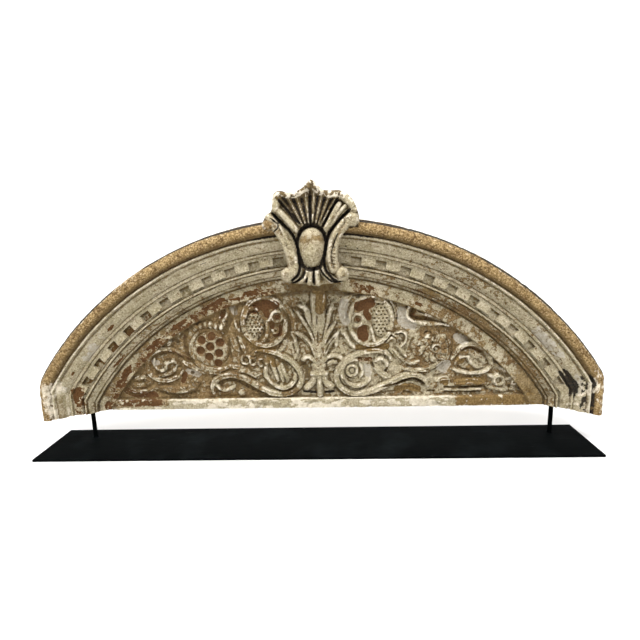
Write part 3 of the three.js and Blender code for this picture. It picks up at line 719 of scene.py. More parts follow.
# The seed head's cells are round holes at the corners of a tilted honeycomb.
HEAD_X, HEAD_Z, HEAD_RADIUS = -294, 268, 50
SEED_PITCH, SEED_TILT = 30, math.radians(21)
field.dome(HEAD_X, HEAD_Z, HEAD_RADIUS, HEAD_RADIUS, 12, 6)
for i in range(-3, 4):
    for j in range(-3, 4):
        u, v = SEED_TILT, SEED_TILT - math.pi / 3
        seed_x = HEAD_X + SEED_PITCH * (i * math.cos(u) + j * math.cos(v))
        seed_z = HEAD_Z + 9 + SEED_PITCH * (i * math.sin(u) + j * math.sin(v))
        if math.hypot(seed_x - HEAD_X, seed_z - HEAD_Z) < HEAD_RADIUS - 6:
            field.pit(seed_x, seed_z, 13, 9, 0.35)
            field.pit(seed_x, seed_z, 13, 0, 0.95, "bare")
for points, half, depth, dark in (
    ([(-169, 259), (-141, 254), (-115, 245), (-95, 230), (-83, 212), (-82, 199)], 4, 7, 0.9),
    ([(-87, 222), (-81, 204)], 5, 5, 0.95),
    ([(-146, 183), (-131, 163), (-108, 148), (-82, 145), (-58, 158)], 3, 6, 0.75),
    ([(-267, 171), (-247, 178), (-223, 174), (-197, 158), (-167, 144), (-140, 136)], 5.5, 9, 1),
    ([(-191, 137), (-167, 133), (-145, 131)], 4, 4, 0.8),
    ([(-252, 316), (-242, 336), (-231, 356)], 8, 6, 0.85),
    ([(-241, 300), (-240, 274), (-238, 245)], 4, 6, 0.9),
    ([(-222, 370), (-216, 348), (-211, 327)], 2.4, 5, 0.8),
    ([(-229, 314), (-209, 309), (-192, 318)], 2.6, 5, 0.8),
    ([(-217, 299), (-214, 277)], 2.4, 5, 0.7),
    ([(-178, 317), (-172, 300)], 2.2, 4, 0.8),
    ([(-220, 364), (-212, 391), (-190, 409), (-159, 421), (-116, 426)], 5.5, 3, 0.75),
    ([(-88, 380), (-77, 358), (-69, 336), (-73, 314), (-84, 296)], 5, 4, 0.8),
    ([(-195, 299), (-177, 283), (-149, 270), (-120, 269), (-92, 280)], 4, 2, 0.4),
    ([(-357, 321), (-366, 291), (-362, 260), (-344, 238)], 6.5, 4, 0.85),
    ([(-332, 210), (-304, 198), (-281, 194)], 2.2, 4, 0.7),
    ([(-396, 327), (-379, 344), (-355, 357), (-336, 361)], 6.5, 4, 0.95),
    ([(-320, 371), (-279, 390), (-238, 404), (-193, 416)], 6, 4, 0.8),
    ([(-439, 257), (-408, 261), (-380, 250), (-358, 234)], 5, 5, 0.85),
    ([(-456, 267), (-440, 278), (-417, 284)], 4.5, 5, 0.95),
    ([(-432, 235), (-421, 242), (-410, 239)], 2.6, 5, 1),
    ([(-457, 221), (-451, 211), (-440, 207)], 2.4, 4, 0.7),
    ([(-391, 198), (-379, 214)], 3, 5, 0.85),
    ([(-408, 192), (-393, 200)], 2.4, 5, 0.7),
    ([(-459, 148), (-420, 138), (-379, 139), (-338, 145)], 4, 6, 1),
    ([(-450, 297), (-429, 305), (-410, 311)], 5.5, 4, 0.85),
    ([(-464, 261), (-475, 273), (-479, 285)], 5, 3, 0.8),
    ([(-396, 303), (-386, 293)], 7, 4, 0.85),
    ([(-504, 229), (-487, 242), (-473, 247)], 1.8, 3, 0.8),
    ([(-535, 215), (-518, 225), (-504, 229)], 5, 3, 0.85),
    ([(-539, 207), (-549, 185)], 4, 3, 0.7),
    ([(-514, 201), (-500, 197)], 4, 4, 0.85),
    ([(-490, 175), (-480, 162), (-465, 174)], 3.4, 4, 0.8),
    ([(-509, 140), (-537, 141), (-554, 145)], 3, 4, 0.8),
    ([(-205, 223), (-190, 215), (-182, 205)], 4, 5, 0.8),
    ([(-149, 223), (-141, 219)], 5, 5, 0.85),
    ([(-61, 202), (-55, 200)], 4, 4, 0.7),
    ([(-73, 178), (-66, 174)], 3.4, 4, 0.7),
):
    field.cut(points, half, depth, dark)
FRUIT_LEFT, FRUIT_RIGHT = (-165, 334), (180, 343)
field.berries(*FRUIT_LEFT, 24.48, 35.7, -189, 304, 10.6, 9.2, 7)
field.pit(-352, 201, 6.5, 8, 1)
field.pit(-120, 337, 10, 5, 0.5)

# The right half is the same design with other fillings: a rosette where the left has its seed head.
for points, half, height, ends in (
    ([(208, 229), (198, 248), (171, 258), (139, 255), (107, 245), (81, 231), (63, 208), (56, 182),
      (64, 156), (86, 138), (113, 132), (143, 140)], 8.5, 14, (0.5, 1)),
    ([(129, 227), (103, 233), (79, 218), (71, 194), (78, 170), (100, 157), (126, 159), (146, 173),
      (152, 195)], 6.5, 13, (0.5, 0.5)),
    (oval(99, 201, 14, 15), 5, 12, (1, 1)),
    ([(121, 223), (129, 201), (122, 180)], 6, 11, (0.5, 0.5)),
    ([(121, 133), (151, 140), (181, 152), (211, 167), (241, 182), (271, 185), (296, 175),
      (309, 153)], 10.5, 15, (0.9, 0.4)),
    ([(215, 145), (235, 158), (262, 161), (290, 149)], 8, 9, (0.4, 0.4)),
    ([(161, 217), (172, 199), (186, 187), (205, 181)], 9, 11, (0.5, 0.5)),
    ([(161, 225), (179, 235), (194, 223), (196, 207)], 6, 11, (0.5, 0.5)),
    (oval(152, 342, 58, 68), 7, 14, (1, 1)),
    ([(98, 410), (82, 397), (74, 371), (79, 345), (91, 329)], 11, 11, (0.6, 0.5)),
    ([(164, 396), (186, 391), (201, 373), (209, 348), (206, 324), (192, 306)], 7, 13, (0.6, 0.6)),
    ([(164, 415), (196, 403), (216, 381), (224, 349)], 4.5, 12, (0.6, 0.5)),
    (oval(117, 346, 14, 14), 4, 12, (1, 1)),
    ([(102, 360), (117, 361), (130, 355), (139, 341), (147, 333)], 4.2, 12, (0.7, 0.7)),
    ([(101, 333), (117, 328), (133, 334), (147, 332), (154, 316), (159, 294), (164, 278)], 4.6, 12,
     (0.7, 0.7)),
    ([(190, 312), (206, 310), (218, 298), (233, 290)], 5, 11, (0.5, 0.5)),
    ([(195, 280), (209, 294), (223, 284)], 4.5, 12, (0.6, 0.6)),
    ([(218, 306), (238, 309), (248, 297), (244, 280), (233, 266)], 5, 12, (0.5, 0.5)),
    ([(201, 264), (217, 250), (230, 234), (246, 220)], 7, 11, (0.5, 0.4)),
    ([(223, 270), (237, 256), (250, 238)], 6, 10, (0.5, 0.4)),
    ([(238, 205), (265, 201), (298, 200), (330, 212), (356, 230), (370, 255)], 7, 12, (0.4, 0.6)),
    ([(246, 226), (265, 220), (285, 226)], 6, 11, (0.5, 0.5)),
    ([(265, 387), (251, 369), (253, 348), (274, 336), (303, 330), (337, 330), (370, 320)], 6, 12,
     (0.5, 0.4)),
    ([(274, 379), (276, 363), (292, 357), (315, 350), (343, 336)], 5, 11, (0.5, 0.4)),
    ([(288, 386), (322, 374), (361, 352), (395, 328)], 6, 9, (0.4, 0.4)),
    ([(374, 229), (388, 253), (412, 270), (439, 268), (462, 254), (477, 231), (485, 203)], 7.5, 13,
     (0.6, 0.5)),
    ([(383, 216), (395, 233), (415, 237), (424, 223), (440, 207), (457, 205)], 6, 12, (0.5, 0.5)),
    ([(379, 200), (408, 191), (441, 189), (469, 195), (485, 213)], 6.5, 12, (0.5, 0.5)),
    ([(431, 239), (452, 233), (465, 217)], 7, 10, (0.5, 0.5)),
    ([(388, 160), (425, 166), (466, 160)], 11, 12, (0.5, 0.5)),
    ([(358, 141), (405, 140), (456, 141)], 3.6, 9, (0.8, 0.8)),
    ([(333, 167), (353, 176), (369, 170)], 8, 11, (0.4, 0.4)),
    (oval(505, 166, 13, 13), 4.5, 11, (1, 1)),
    ([(474, 184), (490, 178), (502, 187)], 6, 11, (0.5, 0.5)),
    ([(481, 144), (502, 142), (526, 134)], 6, 9, (0.5, 0.4)),
    ([(524, 170), (542, 172), (557, 162)], 6, 10, (0.5, 0.4)),
    ([(489, 215), (508, 199), (525, 189)], 6, 9, (0.5, 0.4)),
    ([(476, 254), (501, 236), (524, 215)], 6, 8, (0.4, 0.4)),
):
    field.ridge(points, half, height, ends, BROAD_VEIN if half > BROAD_STEM else NARROW_VEIN)
field.dome(180, 341, 23, 47, 13, 3)
field.dome(117, 346, 9, 9, 5, 4)
field.dome(99, 201, 8, 8, 10)
# The rosette's ten petals curl as they run out from its middle.
for petal in range(10):
    a = math.radians(36 * petal)
    curl = [
        (326 + out * math.cos(a + turn), 266 + out * math.sin(a + turn))
        for out, turn in ((14, 0), (32, 0.12), (44, 0.5))
    ]
    field.ridge(curl, 9, 12, (0.5, 0.35), vein=2.2)
field.ridge(oval(331, 261, 11, 11), 3.6, 12)
field.dome(331, 261, 6, 6, 9)
field.flower(546, 160, 6, 6, 5, 11, 0)
for points, half, depth, dark in (
    ([(74, 176), (90, 156), (115, 146), (140, 154)], 2.8, 5, 0.7),
    ([(83, 209), (81, 192), (90, 180), (106, 176)], 2.4, 4, 0.6),
    ([(153, 221), (159, 213)], 5, 6, 0.95),
    ([(169, 133), (195, 136), (220, 139)], 2.6, 4, 0.85),
    ([(187, 155), (221, 161), (245, 170), (267, 176), (284, 171), (299, 159)], 4.6, 8, 1),
    ([(244, 136), (266, 132)], 3.6, 5, 1),
    ([(194, 197), (198, 211)], 4, 5, 0.85),
    ([(166, 417), (189, 407), (208, 395), (220, 373), (224, 343)], 2.4, 5, 0.85),
    ([(104, 411), (124, 413), (154, 411)], 2, 4, 0.8),
    ([(91, 418), (115, 423), (146, 421)], 4, 3, 0.85),
    ([(190, 316), (202, 313), (213, 308)], 2.4, 5, 0.85),
    ([(191, 280), (207, 298), (219, 291), (224, 279)], 2.4, 5, 0.8),
    ([(217, 301), (235, 305), (245, 295), (240, 280)], 2.2, 5, 0.8),
    ([(185, 256), (191, 235)], 3, 4, 0.8),
    ([(211, 256), (222, 240), (242, 220)], 2.6, 4, 0.7),
    ([(274, 375), (261, 361), (267, 346), (295, 345), (316, 340)], 6.5, 5, 0.8),
    ([(302, 378), (331, 364), (362, 344), (393, 322)], 5.5, 4, 0.85),
    ([(297, 303), (307, 309)], 3, 4, 0.85),
    ([(312, 297), (328, 299)], 2.6, 4, 0.85),
    ([(342, 324), (352, 322)], 4.5, 4, 0.8),
    ([(355, 289), (365, 271), (364, 251)], 2.4, 5, 0.8),
    ([(373, 293), (376, 273), (370, 255)], 2.4, 4, 0.8),
    ([(299, 202), (324, 200), (350, 220)], 2.6, 4, 0.8),
    ([(266, 250), (260, 270), (269, 291)], 4, 4, 0.7),
    ([(326, 182), (353, 184)], 6, 3, 0.6),
    ([(400, 255), (427, 261), (454, 247)], 4.6, 5, 0.75),
    ([(401, 240), (419, 241)], 2.4, 4, 0.85),
    ([(391, 209), (408, 200), (422, 196)], 2.8, 5, 0.95),
    ([(412, 184), (435, 182), (451, 180)], 3, 4, 0.6),
    ([(356, 148), (405, 146), (458, 149)], 3.6, 7, 1),
    ([(356, 135), (405, 134), (456, 133)], 2.6, 4, 0.9),
    ([(462, 154), (474, 137)], 3.4, 6, 1),
    ([(492, 229), (506, 213), (525, 198)], 4.2, 5, 0.95),
    ([(529, 188), (548, 181)], 4.5, 5, 0.95),
    ([(412, 298), (432, 287), (447, 275)], 4.2, 5, 0.9),
    ([(382, 338), (389, 328)], 5, 4, 0.8),
    ([(385, 304), (399, 314)], 4, 4, 0.85),
    ([(522, 131), (546, 131)], 2.6, 4, 0.85),
    ([(311, 137), (329, 136)], 3.4, 5, 0.9),
    ([(214, 403), (245, 395), (257, 389)], 4, 3, 0.8),
):
    field.cut(points, half, depth, dark)
field.berries(*FRUIT_RIGHT, 22.54, 46.06, 157, 302, 11.2, 9.4, 10)
for hole_x, hole_z, radius in ((536, 147, 5), (566, 144, 6.5), (192, 197, 3.6), (325, 289, 3.4),
                               (320, 280, 3), (406, 298, 3.4), (419, 306, 3)):
    field.pit(hole_x, hole_z, radius, 7, 1)

# The plain band under the field stands level with the rim, its upper edge eased. The carving runs
# out just over it.
BAND_TOP = 124.5
band = (GROUND - FACE) * (1 - ease(fz, BAND_TOP - 2, BAND_TOP + 2))
tapered = np.maximum(field.relief * ease(fz, 119, 128), band)
field.relief = np.where(fz < 130, tapered, field.relief)

# Bare brown stone, ochre and grey paint lie in whole patches.
for look, strength, half, points in (
    ("bare", 1, 17, [(-155, 389), (-135, 393), (-111, 390)]),
    ("bare", 1, 10, [(-137, 375), (-129, 361)]),
    ("bare", 0.9, 9, [(-120, 338), (-118, 331)]),
    ("bare", 0.8, 6, [(-97, 330), (-97, 310), (-114, 304)]),
    ("bare", 0.9, 8, [(-104, 358), (-103, 357)]),
    ("bare", 0.8, 5, [(-177, 373), (-163, 371)]),
    ("bare", 1, 17, [(120, 382), (136, 386), (150, 392)]),
    ("bare", 1, 9, [(139, 366), (147, 350)]),
    ("bare", 1, 16, [(129, 316), (132, 298)]),
    ("bare", 0.9, 7, [(117, 346), (118, 345)]),
    ("bare", 0.6, 7, [(119, 233), (151, 231)]),
    ("bare", 0.8, 7, [(-357, 329), (-366, 291), (-358, 253)]),
    ("bare", 0.9, 6, [(-434, 261), (-398, 261), (-358, 238)]),
    ("bare", 0.8, 9, [(-373, 198), (-381, 176)]),
    ("bare", 0.7, 13, [(-546, 149), (-517, 138), (-466, 136)]),
    ("bare", 0.8, 8, [(-251, 376), (-257, 360)]),
    ("bare", 0.9, 7, [(268, 369), (268, 349), (301, 345)]),
    ("bare", 0.7, 6, [(302, 378), (351, 352), (389, 326)]),
    ("bare", 0.7, 6, [(400, 257), (427, 261), (452, 249)]),
    ("bare", 0.5, 14, [(476, 254), (504, 229), (533, 199)]),
    ("ochre", 1, 9, [(-195, 297), (-175, 279), (-147, 267), (-118, 267)]),
    ("ochre", 1, 9, [(116, 267), (152, 265), (195, 268)]),
    ("ochre", 0.9, 10, [(-129, 237), (-113, 223)]),
    ("ochre", 1, 12, [(392, 163), (425, 166), (462, 163)]),
    ("ochre", 0.9, 11, [(225, 145), (254, 151), (282, 143)]),
    ("ochre", 0.8, 10, [(351, 170), (359, 161)]),
    ("ochre", 0.8, 10, [(391, 229), (401, 223)]),
    ("ochre", 0.8, 8, [(-268, 133), (-235, 131)]),
    ("ochre", 0.7, 9, [(-371, 335), (-336, 351), (-293, 368)]),
    ("ochre", 0.6, 16, [(1, 435), (19, 425), (14, 375)]),
    ("ochre", 0.5, 12, [(-90, 139), (-60, 147)]),
    ("grey", 1, 13, [(80, 393), (76, 367), (83, 343)]),
    ("grey", 1, 15, [(235, 365), (240, 339), (264, 325)]),
    ("grey", 1, 13, [(342, 208), (360, 216), (353, 198)]),
    ("grey", 1, 12, [(387, 292), (404, 282), (418, 292)]),
    ("grey", 0.9, 9, [(-228, 390), (-220, 370)]),
    ("grey", 0.8, 8, [(-449, 231), (-461, 235)]),
    ("grey", 0.7, 10, [(-365, 204), (-336, 196)]),
    ("grey", 0.8, 12, [(144, 191), (141, 209)]),
):
    field.paint(points, half, strength, look)

field_r = np.hypot(fx, fz - CENTRE_Z)
patchy = rough(fx, fz, 48, 111)
mixed_up = rough(fx, fz, 13, 115)


def crests(x, z, size, seed):
    """Sharp little crests about size millimetres apart, as a worn chisel leaves them."""
    return 1 - abs(2 * mottle(x, z, size, seed) - 1)


# Small leaves and chisel cuts fill what lies between the stems, all but the smooth patches.
swirl_x = fx + 30 * (rough(fx, fz, 34, 201) - 0.5)
swirl_z = fz + 30 * (rough(fx, fz, 34, 205) - 0.5)
worked = 0.6 * crests(swirl_x, swirl_z, 15, 211) ** 3 + 0.4 * crests(swirl_x, swirl_z, 8, 215) ** 2
smooth = np.maximum(field.looks["bare"], np.maximum(field.looks["grey"], field.looks["ochre"] * 0.6))
berries = 0 * fx
for (x, z), half_x, half_z in ((FRUIT_LEFT, 25, 38), (FRUIT_RIGHT, 23, 47)):
    out = np.hypot((fx - x) / half_x, (fz - z) / half_z)
    berries = np.maximum(berries, ease(1.15 - out, 0, 0.1))
seeds = ease(HEAD_RADIUS + 6 - np.hypot(fx - HEAD_X, fz - HEAD_Z), 0, 4)
calm = np.maximum(np.clip(smooth, 0, 1), np.maximum(berries, seeds))
stems = ease(field.relief, 4, 9)
field.relief += (6 - 3 * stems) * worked * (1 - calm) * (0.75 + 0.25 * ease(fx, -50, 50))
# Painted shade, with some dirt, darkens spots that lie lower than the stone round them, and wash
# stays where they lie higher.
around = blurred(field.relief, 3)
wide = blurred(field.relief, 8)
low = ease(around - field.relief, 0.2, 3) * 0.8 + ease(wide - field.relief, 1, 7) * 0.45
proud = ease(field.relief - around, 0.2, 3)
grain = rough(fx, fz, 6, 121) - 0.5
field.relief = field.relief + 1.4 * grain + 1.6 * (rough(fx, fz, 22, 131) - 0.5)
field.relief -= 2.4 * ease(rough(fx, fz, 13, 141), 0.6, 0.76) * (field.relief > 5)
looks = field.looks
shade_and_dirt = np.clip(low, 0, 1) * (0.62 + 0.5 * patchy - 0.16 * ease(fx, 40, 120)) * (1 - 0.6 * smooth)
lay(looks, "dirt_and_shade", shade_and_dirt)
# Painted shade, with some dirt, darkens the field next to the rim's inner wall.
lay(looks, "dirt_and_shade", ease(field_r, INNER - 20, INNER - 6) * (0.4 + 0.6 * mixed_up))
looks["wash"] = 0.44 + 0.12 * stems + 0.5 * (patchy - 0.5) + 0.4 * (mixed_up - 0.5) + 0.1 * proud
looks["wash"] += 0.1 * ease(fx, -60, 60) - 0.12 * ease(-fx, 110, 190)
lay(looks, "wash", 0.72 * berries * (1 - looks["bare"]))
# The wash is whiter on both volutes and under the sheaf, thinner on the left fruit and the rosette.
for amount, x, z, half_x, half_z in (
    (0.26, 110, 195, 90, 60), (-0.22, -139, 345, 70, 80), (-0.22, 326, 280, 80, 80),
    (0.2, -100, 187, 70, 60), (0.24, 0, 135, 60, 34),
):
    looks["wash"] += amount * np.exp(-(((fx - x) / half_x) ** 2) - ((fz - z) / half_z) ** 2)
# Raised spots get painted highlight, pale like the thickest wash.
looks["chalk_and_highlight"] = proud * ease(mixed_up, 0.35, 0.6) * (0.36 + 0.36 * stems) * (1 - 0.5 * seeds)
# The plain band is white, with painted highlight along its top edge, but for worn places near both
# ends: brown on the left, ochre on the right.
in_band = fz < BAND_TOP
band_bare = ease(-fx, 400, 460) * ease(fz, 102, 108) + ease(fx, 380, 395) * ease(fz, 95, 99)
band_bare *= ease(rough(fx, fz * 1.5, 13, 151), 0.2 + 0.08 * (fx < 0), 0.36 + 0.06 * (fx < 0))
streaky = rough(fx, fz * 3, 30, 153)
lit_edge = np.exp(-(((fz - BAND_TOP + 1) / 1.6) ** 2))
band_pale = np.maximum(lit_edge * (1 - 0.6 * band_bare), (1 - band_bare) * ease(streaky, 0.36, 0.62))
looks["wash"] = np.where(in_band, 0.92 - 0.85 * band_bare, looks["wash"])
looks["bare"] = np.where(in_band, 0.85 * band_bare * (fx < 0), looks["bare"])
looks["ochre"] = np.where(in_band, 1.1 * band_bare * (fx > 0), looks["ochre"])
looks["chalk_and_highlight"] = np.where(in_band, 0.9 * band_pale, looks["chalk_and_highlight"])
looks["wash"] *= 1 - 0.95 * np.maximum(looks["bare"], looks["ochre"])

field_inside = (field_r <= INNER) & (abs(fx) <= half_width + 0.01)


def block(x, y, z, inside, back, place_edge, looks):
    """Points, faces and looks of a block whose front is a grid of points and whose back is flat."""
    number = np.arange(x.size).reshape(x.shape)
    corners = [number[:-1, :-1], number[:-1, 1:], number[1:, 1:], number[1:, :-1]]
    kept = inside[:-1, :-1] & inside[:-1, 1:] & inside[1:, 1:] & inside[1:, :-1]
    quads = np.stack([c[kept] for c in corners], -1)
    used, flat = np.unique(quads, return_inverse=True)
    quads = flat.reshape(quads.shape)
    points = np.stack([a.ravel()[used] for a in (x, y, z)], -1)
    looks = np.stack([looks[name].ravel()[used] for name in LOOKS], -1)
    sides = np.concatenate([quads[:, [k, (k + 1) % 4]] for k in range(4)])
    twins = {(b, a) for a, b in sides.tolist()}
    following = dict((a, b) for a, b in sides.tolist() if (a, b) not in twins)
    start = next(iter(following))
    loop = [start]
    while following[loop[-1]] != start:
        loop.append(following[loop[-1]])
    if len(loop) != len(following):
        raise ValueError("the block's edge is not one loop")
    points[loop] = place_edge(points[loop])
    behind = points[loop].copy()
    behind[:, 1] = back
    first = len(points)
    faces = quads.tolist()
    for k, a in enumerate(loop):
        j = (k + 1) % len(loop)
        faces.append([loop[j], a, first + k, first + j])
    faces.append([first + k for k in range(len(loop))])
    rough_back = [[BACK_LOOKS.get(name, 0) for name in LOOKS]] * len(loop)
    return np.vstack([points, behind]), faces, np.vstack([looks, rough_back])


def to_inner_wall(edge):
    """Moves the field's edge out to the wall that the rim leaves round it."""
    out = np.hypot(edge[:, 0], edge[:, 2] - CENTRE_Z)
    along_arc = edge[:, 2] > CENTRE_Z + INNER * math.cos(END)
    pull = np.where(along_arc, INNER / out, 1)
    moved = edge.copy()
    moved[:, 0] = edge[:, 0] * pull
    moved[:, 2] = CENTRE_Z + (edge[:, 2] - CENTRE_Z) * pull
    foot = edge[:, 2] < BOTTOM + 0.5
    moved[foot, 2] = edge[foot, 2]
    moved[:, 0] = np.clip(moved[:, 0], -half_width, half_width)
    return moved


field_points, field_faces, field_looks = block(
    fx, GROUND - field.relief, fz, field_inside, BACK, to_inner_wall, field.looks
)

# The cartouche on the crown, of the same block: a scalloped shell over an egg-shaped boss, between
# straps that end in balls, on a foot of curling tongues. All its grooves are painted black as shade.
CARTOUCHE_GROUND, CARTOUCHE_BACK, CARTOUCHE_CELL = -40, 48, 2.2
outline = curve(
    [
        (120, 603), (118, 625), (111, 644), (101, 662), (85, 676), (66, 682), (46, 681), (31, 685),
        (21, 694), (12, 702), (3, 708), (-6, 700), (-16, 689), (-30, 682), (-45, 679),
        (-59, 680), (-71, 684), (-83, 681), (-90, 669), (-92, 651), (-97, 637), (-109, 626),
        (-119, 611), (-118, 597), (-107, 588), (-93, 587), (-82, 572), (-73, 552), (-65, 530),
        (-61, 508), (-66, 496), (-77, 489), (-79, 476), (-72, 464), (-59, 458), (-38, 455),
        (-14, 454), (2, 450), (14, 450), (28, 453), (52, 454), (74, 457), (88, 463), (94, 476),
        (88, 489), (75, 497), (68, 510), (68, 530), (72, 554), (79, 576), (92, 587), (111, 590),
        (120, 603),
    ],
    1.0,
)
kx, kz = np.meshgrid(
    np.arange(-122, 126, CARTOUCHE_CELL), np.arange(446, 713, CARTOUCHE_CELL)
)


def from_outline(x, z, skip):
    """How far spots lie from the cartouche's outline, measured to every skip-th point of it."""
    out = np.hypot(x[..., None] - outline[::skip, 0], z[..., None] - outline[::skip, 1])
    return out.min(-1)


def within(x, z, loop):
    """Which points lie inside a closed line."""
    crossings = np.zeros(x.shape, int)
    for (x0, z0), (x1, z1) in zip(loop, np.roll(loop, -1, axis=0)):
        if z0 == z1:
            continue
        spans = (z0 > z) != (z1 > z)
        crossings += spans & (x < (x1 - x0) * (z - z0) / (z1 - z0) + x0)
    return crossings % 2 == 1


shell = Carving(kx, kz)
edge_distance = from_outline(kx, kz, 3)
# Flutes fan out from above the boss, four each side of the middle one.
FAN_X, FAN_Z, LEFT_FLUTE, RIGHT_FLUTE = 1, 557, 0.195, 0.165
rise = np.maximum(kz - FAN_Z, 8)
slope = (kx - FAN_X) / rise
rib = slope / np.where(slope < 0, LEFT_FLUTE, RIGHT_FLUTE)
fluted = ease(kz, 593, 607) * ease(4.15 - abs(rib), 0, 0.3)
valley = 1 - abs(2 * (rib - np.floor(rib)) - 1)
shell.relief += 9 * fluted * np.sqrt(np.clip(valley, 0, 1)) + 2
looks = shell.looks
# Painted shade darkens the flutes, black in their valleys.
lay(looks, "black", fluted * (1 - ease(valley, 0.3, 0.75)) * (0.8 + 0.2 * (abs(rib) < 0.5)))
lay(looks, "dirt_and_shade", fluted * (0.85 - 0.45 * ease(valley, 0.8, 0.97)))
LIP_LINE = [
    (105, 634), (98, 649), (80, 666), (64, 672), (46, 671), (30, 675), (16, 686), (3, 697),
    (-10, 686), (-25, 676), (-41, 671), (-59, 672), (-76, 673), (-83, 657), (-84, 643),
]
shell.ridge(LIP_LINE, 11, 21, power=4)
for points, half, height, ends, vein in (
    ([(-88, 646), (-72, 631), (-52, 608), (-34, 588)], 8.5, 19, (0.8, 0.8), 2),
    ([(72, 649), (61, 632), (47, 608), (35, 586)], 7.5, 19, (0.8, 0.8), 2),
    ([(89, 646), (75, 634), (61, 616), (49, 596)], 5.5, 17, (0.8, 0.6), 0),
    ([(-104, 621), (-87, 599), (-69, 568), (-55, 538), (-47, 509), (-47, 487)], 15, 19, (0.6, 1), 2),
    ([(105, 623), (83, 600), (64, 574), (54, 546), (51, 519), (56, 494)], 15, 19, (0.6, 1), 3),
    ([(-27, 496), (-33, 478), (-49, 464)], 5.5, 15, (0.8, 0.8), 0),
    ([(-12, 496), (-16, 477), (-30, 461)], 7, 16, (0.8, 0.8), 0),
    ([(-3, 494), (-5, 474), (-7, 458)], 7, 17, (0.8, 1), 0),
    ([(13, 493), (13, 473), (15, 455)], 7, 17, (0.8, 1), 0),
    ([(24, 495), (31, 476), (50, 461)], 7, 16, (0.8, 0.8), 0),
    ([(35, 493), (45, 475), (66, 462)], 5, 15, (0.8, 0.8), 0),
):
    shell.ridge(points, half, height, ends, vein, power=4)
# Balls end the straps at the foot and on the shoulders.
shell.dome(-61, 479, 18.5, 18.5, 23, 2.6)
shell.dome(76, 478, 18.5, 18.5, 23, 2.6)
shell.dome(-106, 602, 14, 14, 20, 2.6)
shell.dome(103, 612, 17, 18, 27, 2.6)
BOSS_GROOVE = [
    (1, 599), (-18, 593), (-30, 578), (-35, 557), (-32, 535), (-27, 515), (-19, 498), (0, 492),
    (19, 497), (28, 514), (33, 534), (37, 556), (32, 579), (20, 594), (1, 599),
]
for points, half, depth, dark in (
    (BOSS_GROOVE, 5, 6, 1),
    ([(-94, 631), (-72, 608), (-50, 584), (-41, 566), (-34, 540), (-31, 515), (-30, 495),
      (-35, 479), (-50, 466)], 4, 12, 1),
    ([(95, 634), (73, 613), (53, 591), (41, 570), (36, 544), (31, 518), (32, 498), (44, 476),
      (62, 461), (78, 458)], 4, 12, 1),
    ([(-17, 495), (-20, 479), (-32, 466), (-52, 458)], 3, 8, 1),
    ([(5, 494), (4, 472), (4, 454)], 3, 9, 1),
    ([(-12, 469), (-15, 459)], 2.4, 6, 1),
    ([(20, 495), (30, 478), (46, 463), (64, 456)], 3, 8, 1),
    ([(-77, 663), (-60, 643), (-42, 620), (-28, 606)], 4, 8, 1),
    ([(66, 658), (53, 638), (39, 613), (30, 599)], 4, 8, 1),
    ([(0, 686), (-1, 646), (0, 601)], 3.4, 9, 1),
    ([(-89, 587), (-78, 602), (-98, 619)], 2.6, 5, 0.7),
    ([(-77, 596), (-65, 568), (-57, 544)], 1.8, 3, 0.5),
    ([(66, 578), (56, 554), (49, 524), (53, 500)], 2, 4, 0.7),
):
    shell.cut(points, half, depth, dark, "black")
# Fine cuts follow the scalloped lip and ring the ball on the right shoulder.
for points, half, depth in (
    ([(82, 599), (84, 616), (94, 629), (108, 632)], 2, 6),
    ([(56, 664), (74, 659), (90, 645), (99, 634)], 1.6, 5),
    ([(8, 690), (22, 676), (38, 666)], 1.5, 4),
    ([(-78, 671), (-62, 668), (-45, 667), (-30, 671)], 1.4, 3),
):
    shell.cut(points, half, depth, 0.6, "dirt_and_shade")
for notch in range(7):
    shell.cut([(49, 497 + 8.4 * notch), (58, 495 + 8.4 * notch)], 1.8, 4, 0.8)
# The boss is an egg, blunt end up.
BOSS_X, BOSS_Z, BOSS_HALF = 1, 547, 31
half_high = np.where(kz > BOSS_Z, 46, 50)
egg_out = np.hypot((kx - BOSS_X) / (BOSS_HALF - 0.06 * (BOSS_Z - kz)), (kz - BOSS_Z) / half_high)
egg_in = egg_out < 1
egg_height = 28 * np.sqrt(np.clip(1 - egg_out**2.4, 0, 1)) + 1
shell.relief = np.where(egg_in, egg_height, shell.relief)
looks["black"] = np.where(egg_out < 0.97, 0, looks["black"])
looks["dirt_and_shade"] = np.where(egg_out < 0.97, 0.1, looks["dirt_and_shade"])
# Black painted shade fills the hollow over the boss, where the flutes run together.
over_boss = ease(egg_out, 1, 1.06) * ease(1.42 - egg_out, 0, 0.25) * ease(kz, 556, 572)
over_boss *= ease(46 - abs(kx - BOSS_X), 0, 8)
shell.relief -= 6 * over_boss
lay(looks, "black", over_boss)
# The outline's edge is rounded over with a radius of 7 mm.
EDGE = 7
rounding = EDGE * (1 - np.sqrt(1 - (1 - np.clip(edge_distance / EDGE, 0, 1)) ** 2))
around = blurred(shell.relief, 3)
low = ease(around - shell.relief, 0.4, 5)
proud = ease(shell.relief - around, 0.2, 4)
patchy = rough(kx, kz, 30, 161)
spots = rough(kx, kz, 9, 165)
shell.relief += 1.5 * (rough(kx, kz, 7, 171) - 0.5) + 2 * (rough(kx, kz, 18, 181) - 0.5)
shell.relief -= 2.6 * ease(rough(kx, kz, 13, 191), 0.58, 0.75) * ease(kz, 650, 670)
shell.relief -= 2.6 * ease(rough(kx, kz, 11, 195), 0.56, 0.72) * (egg_out > 1)
shell.relief -= rounding
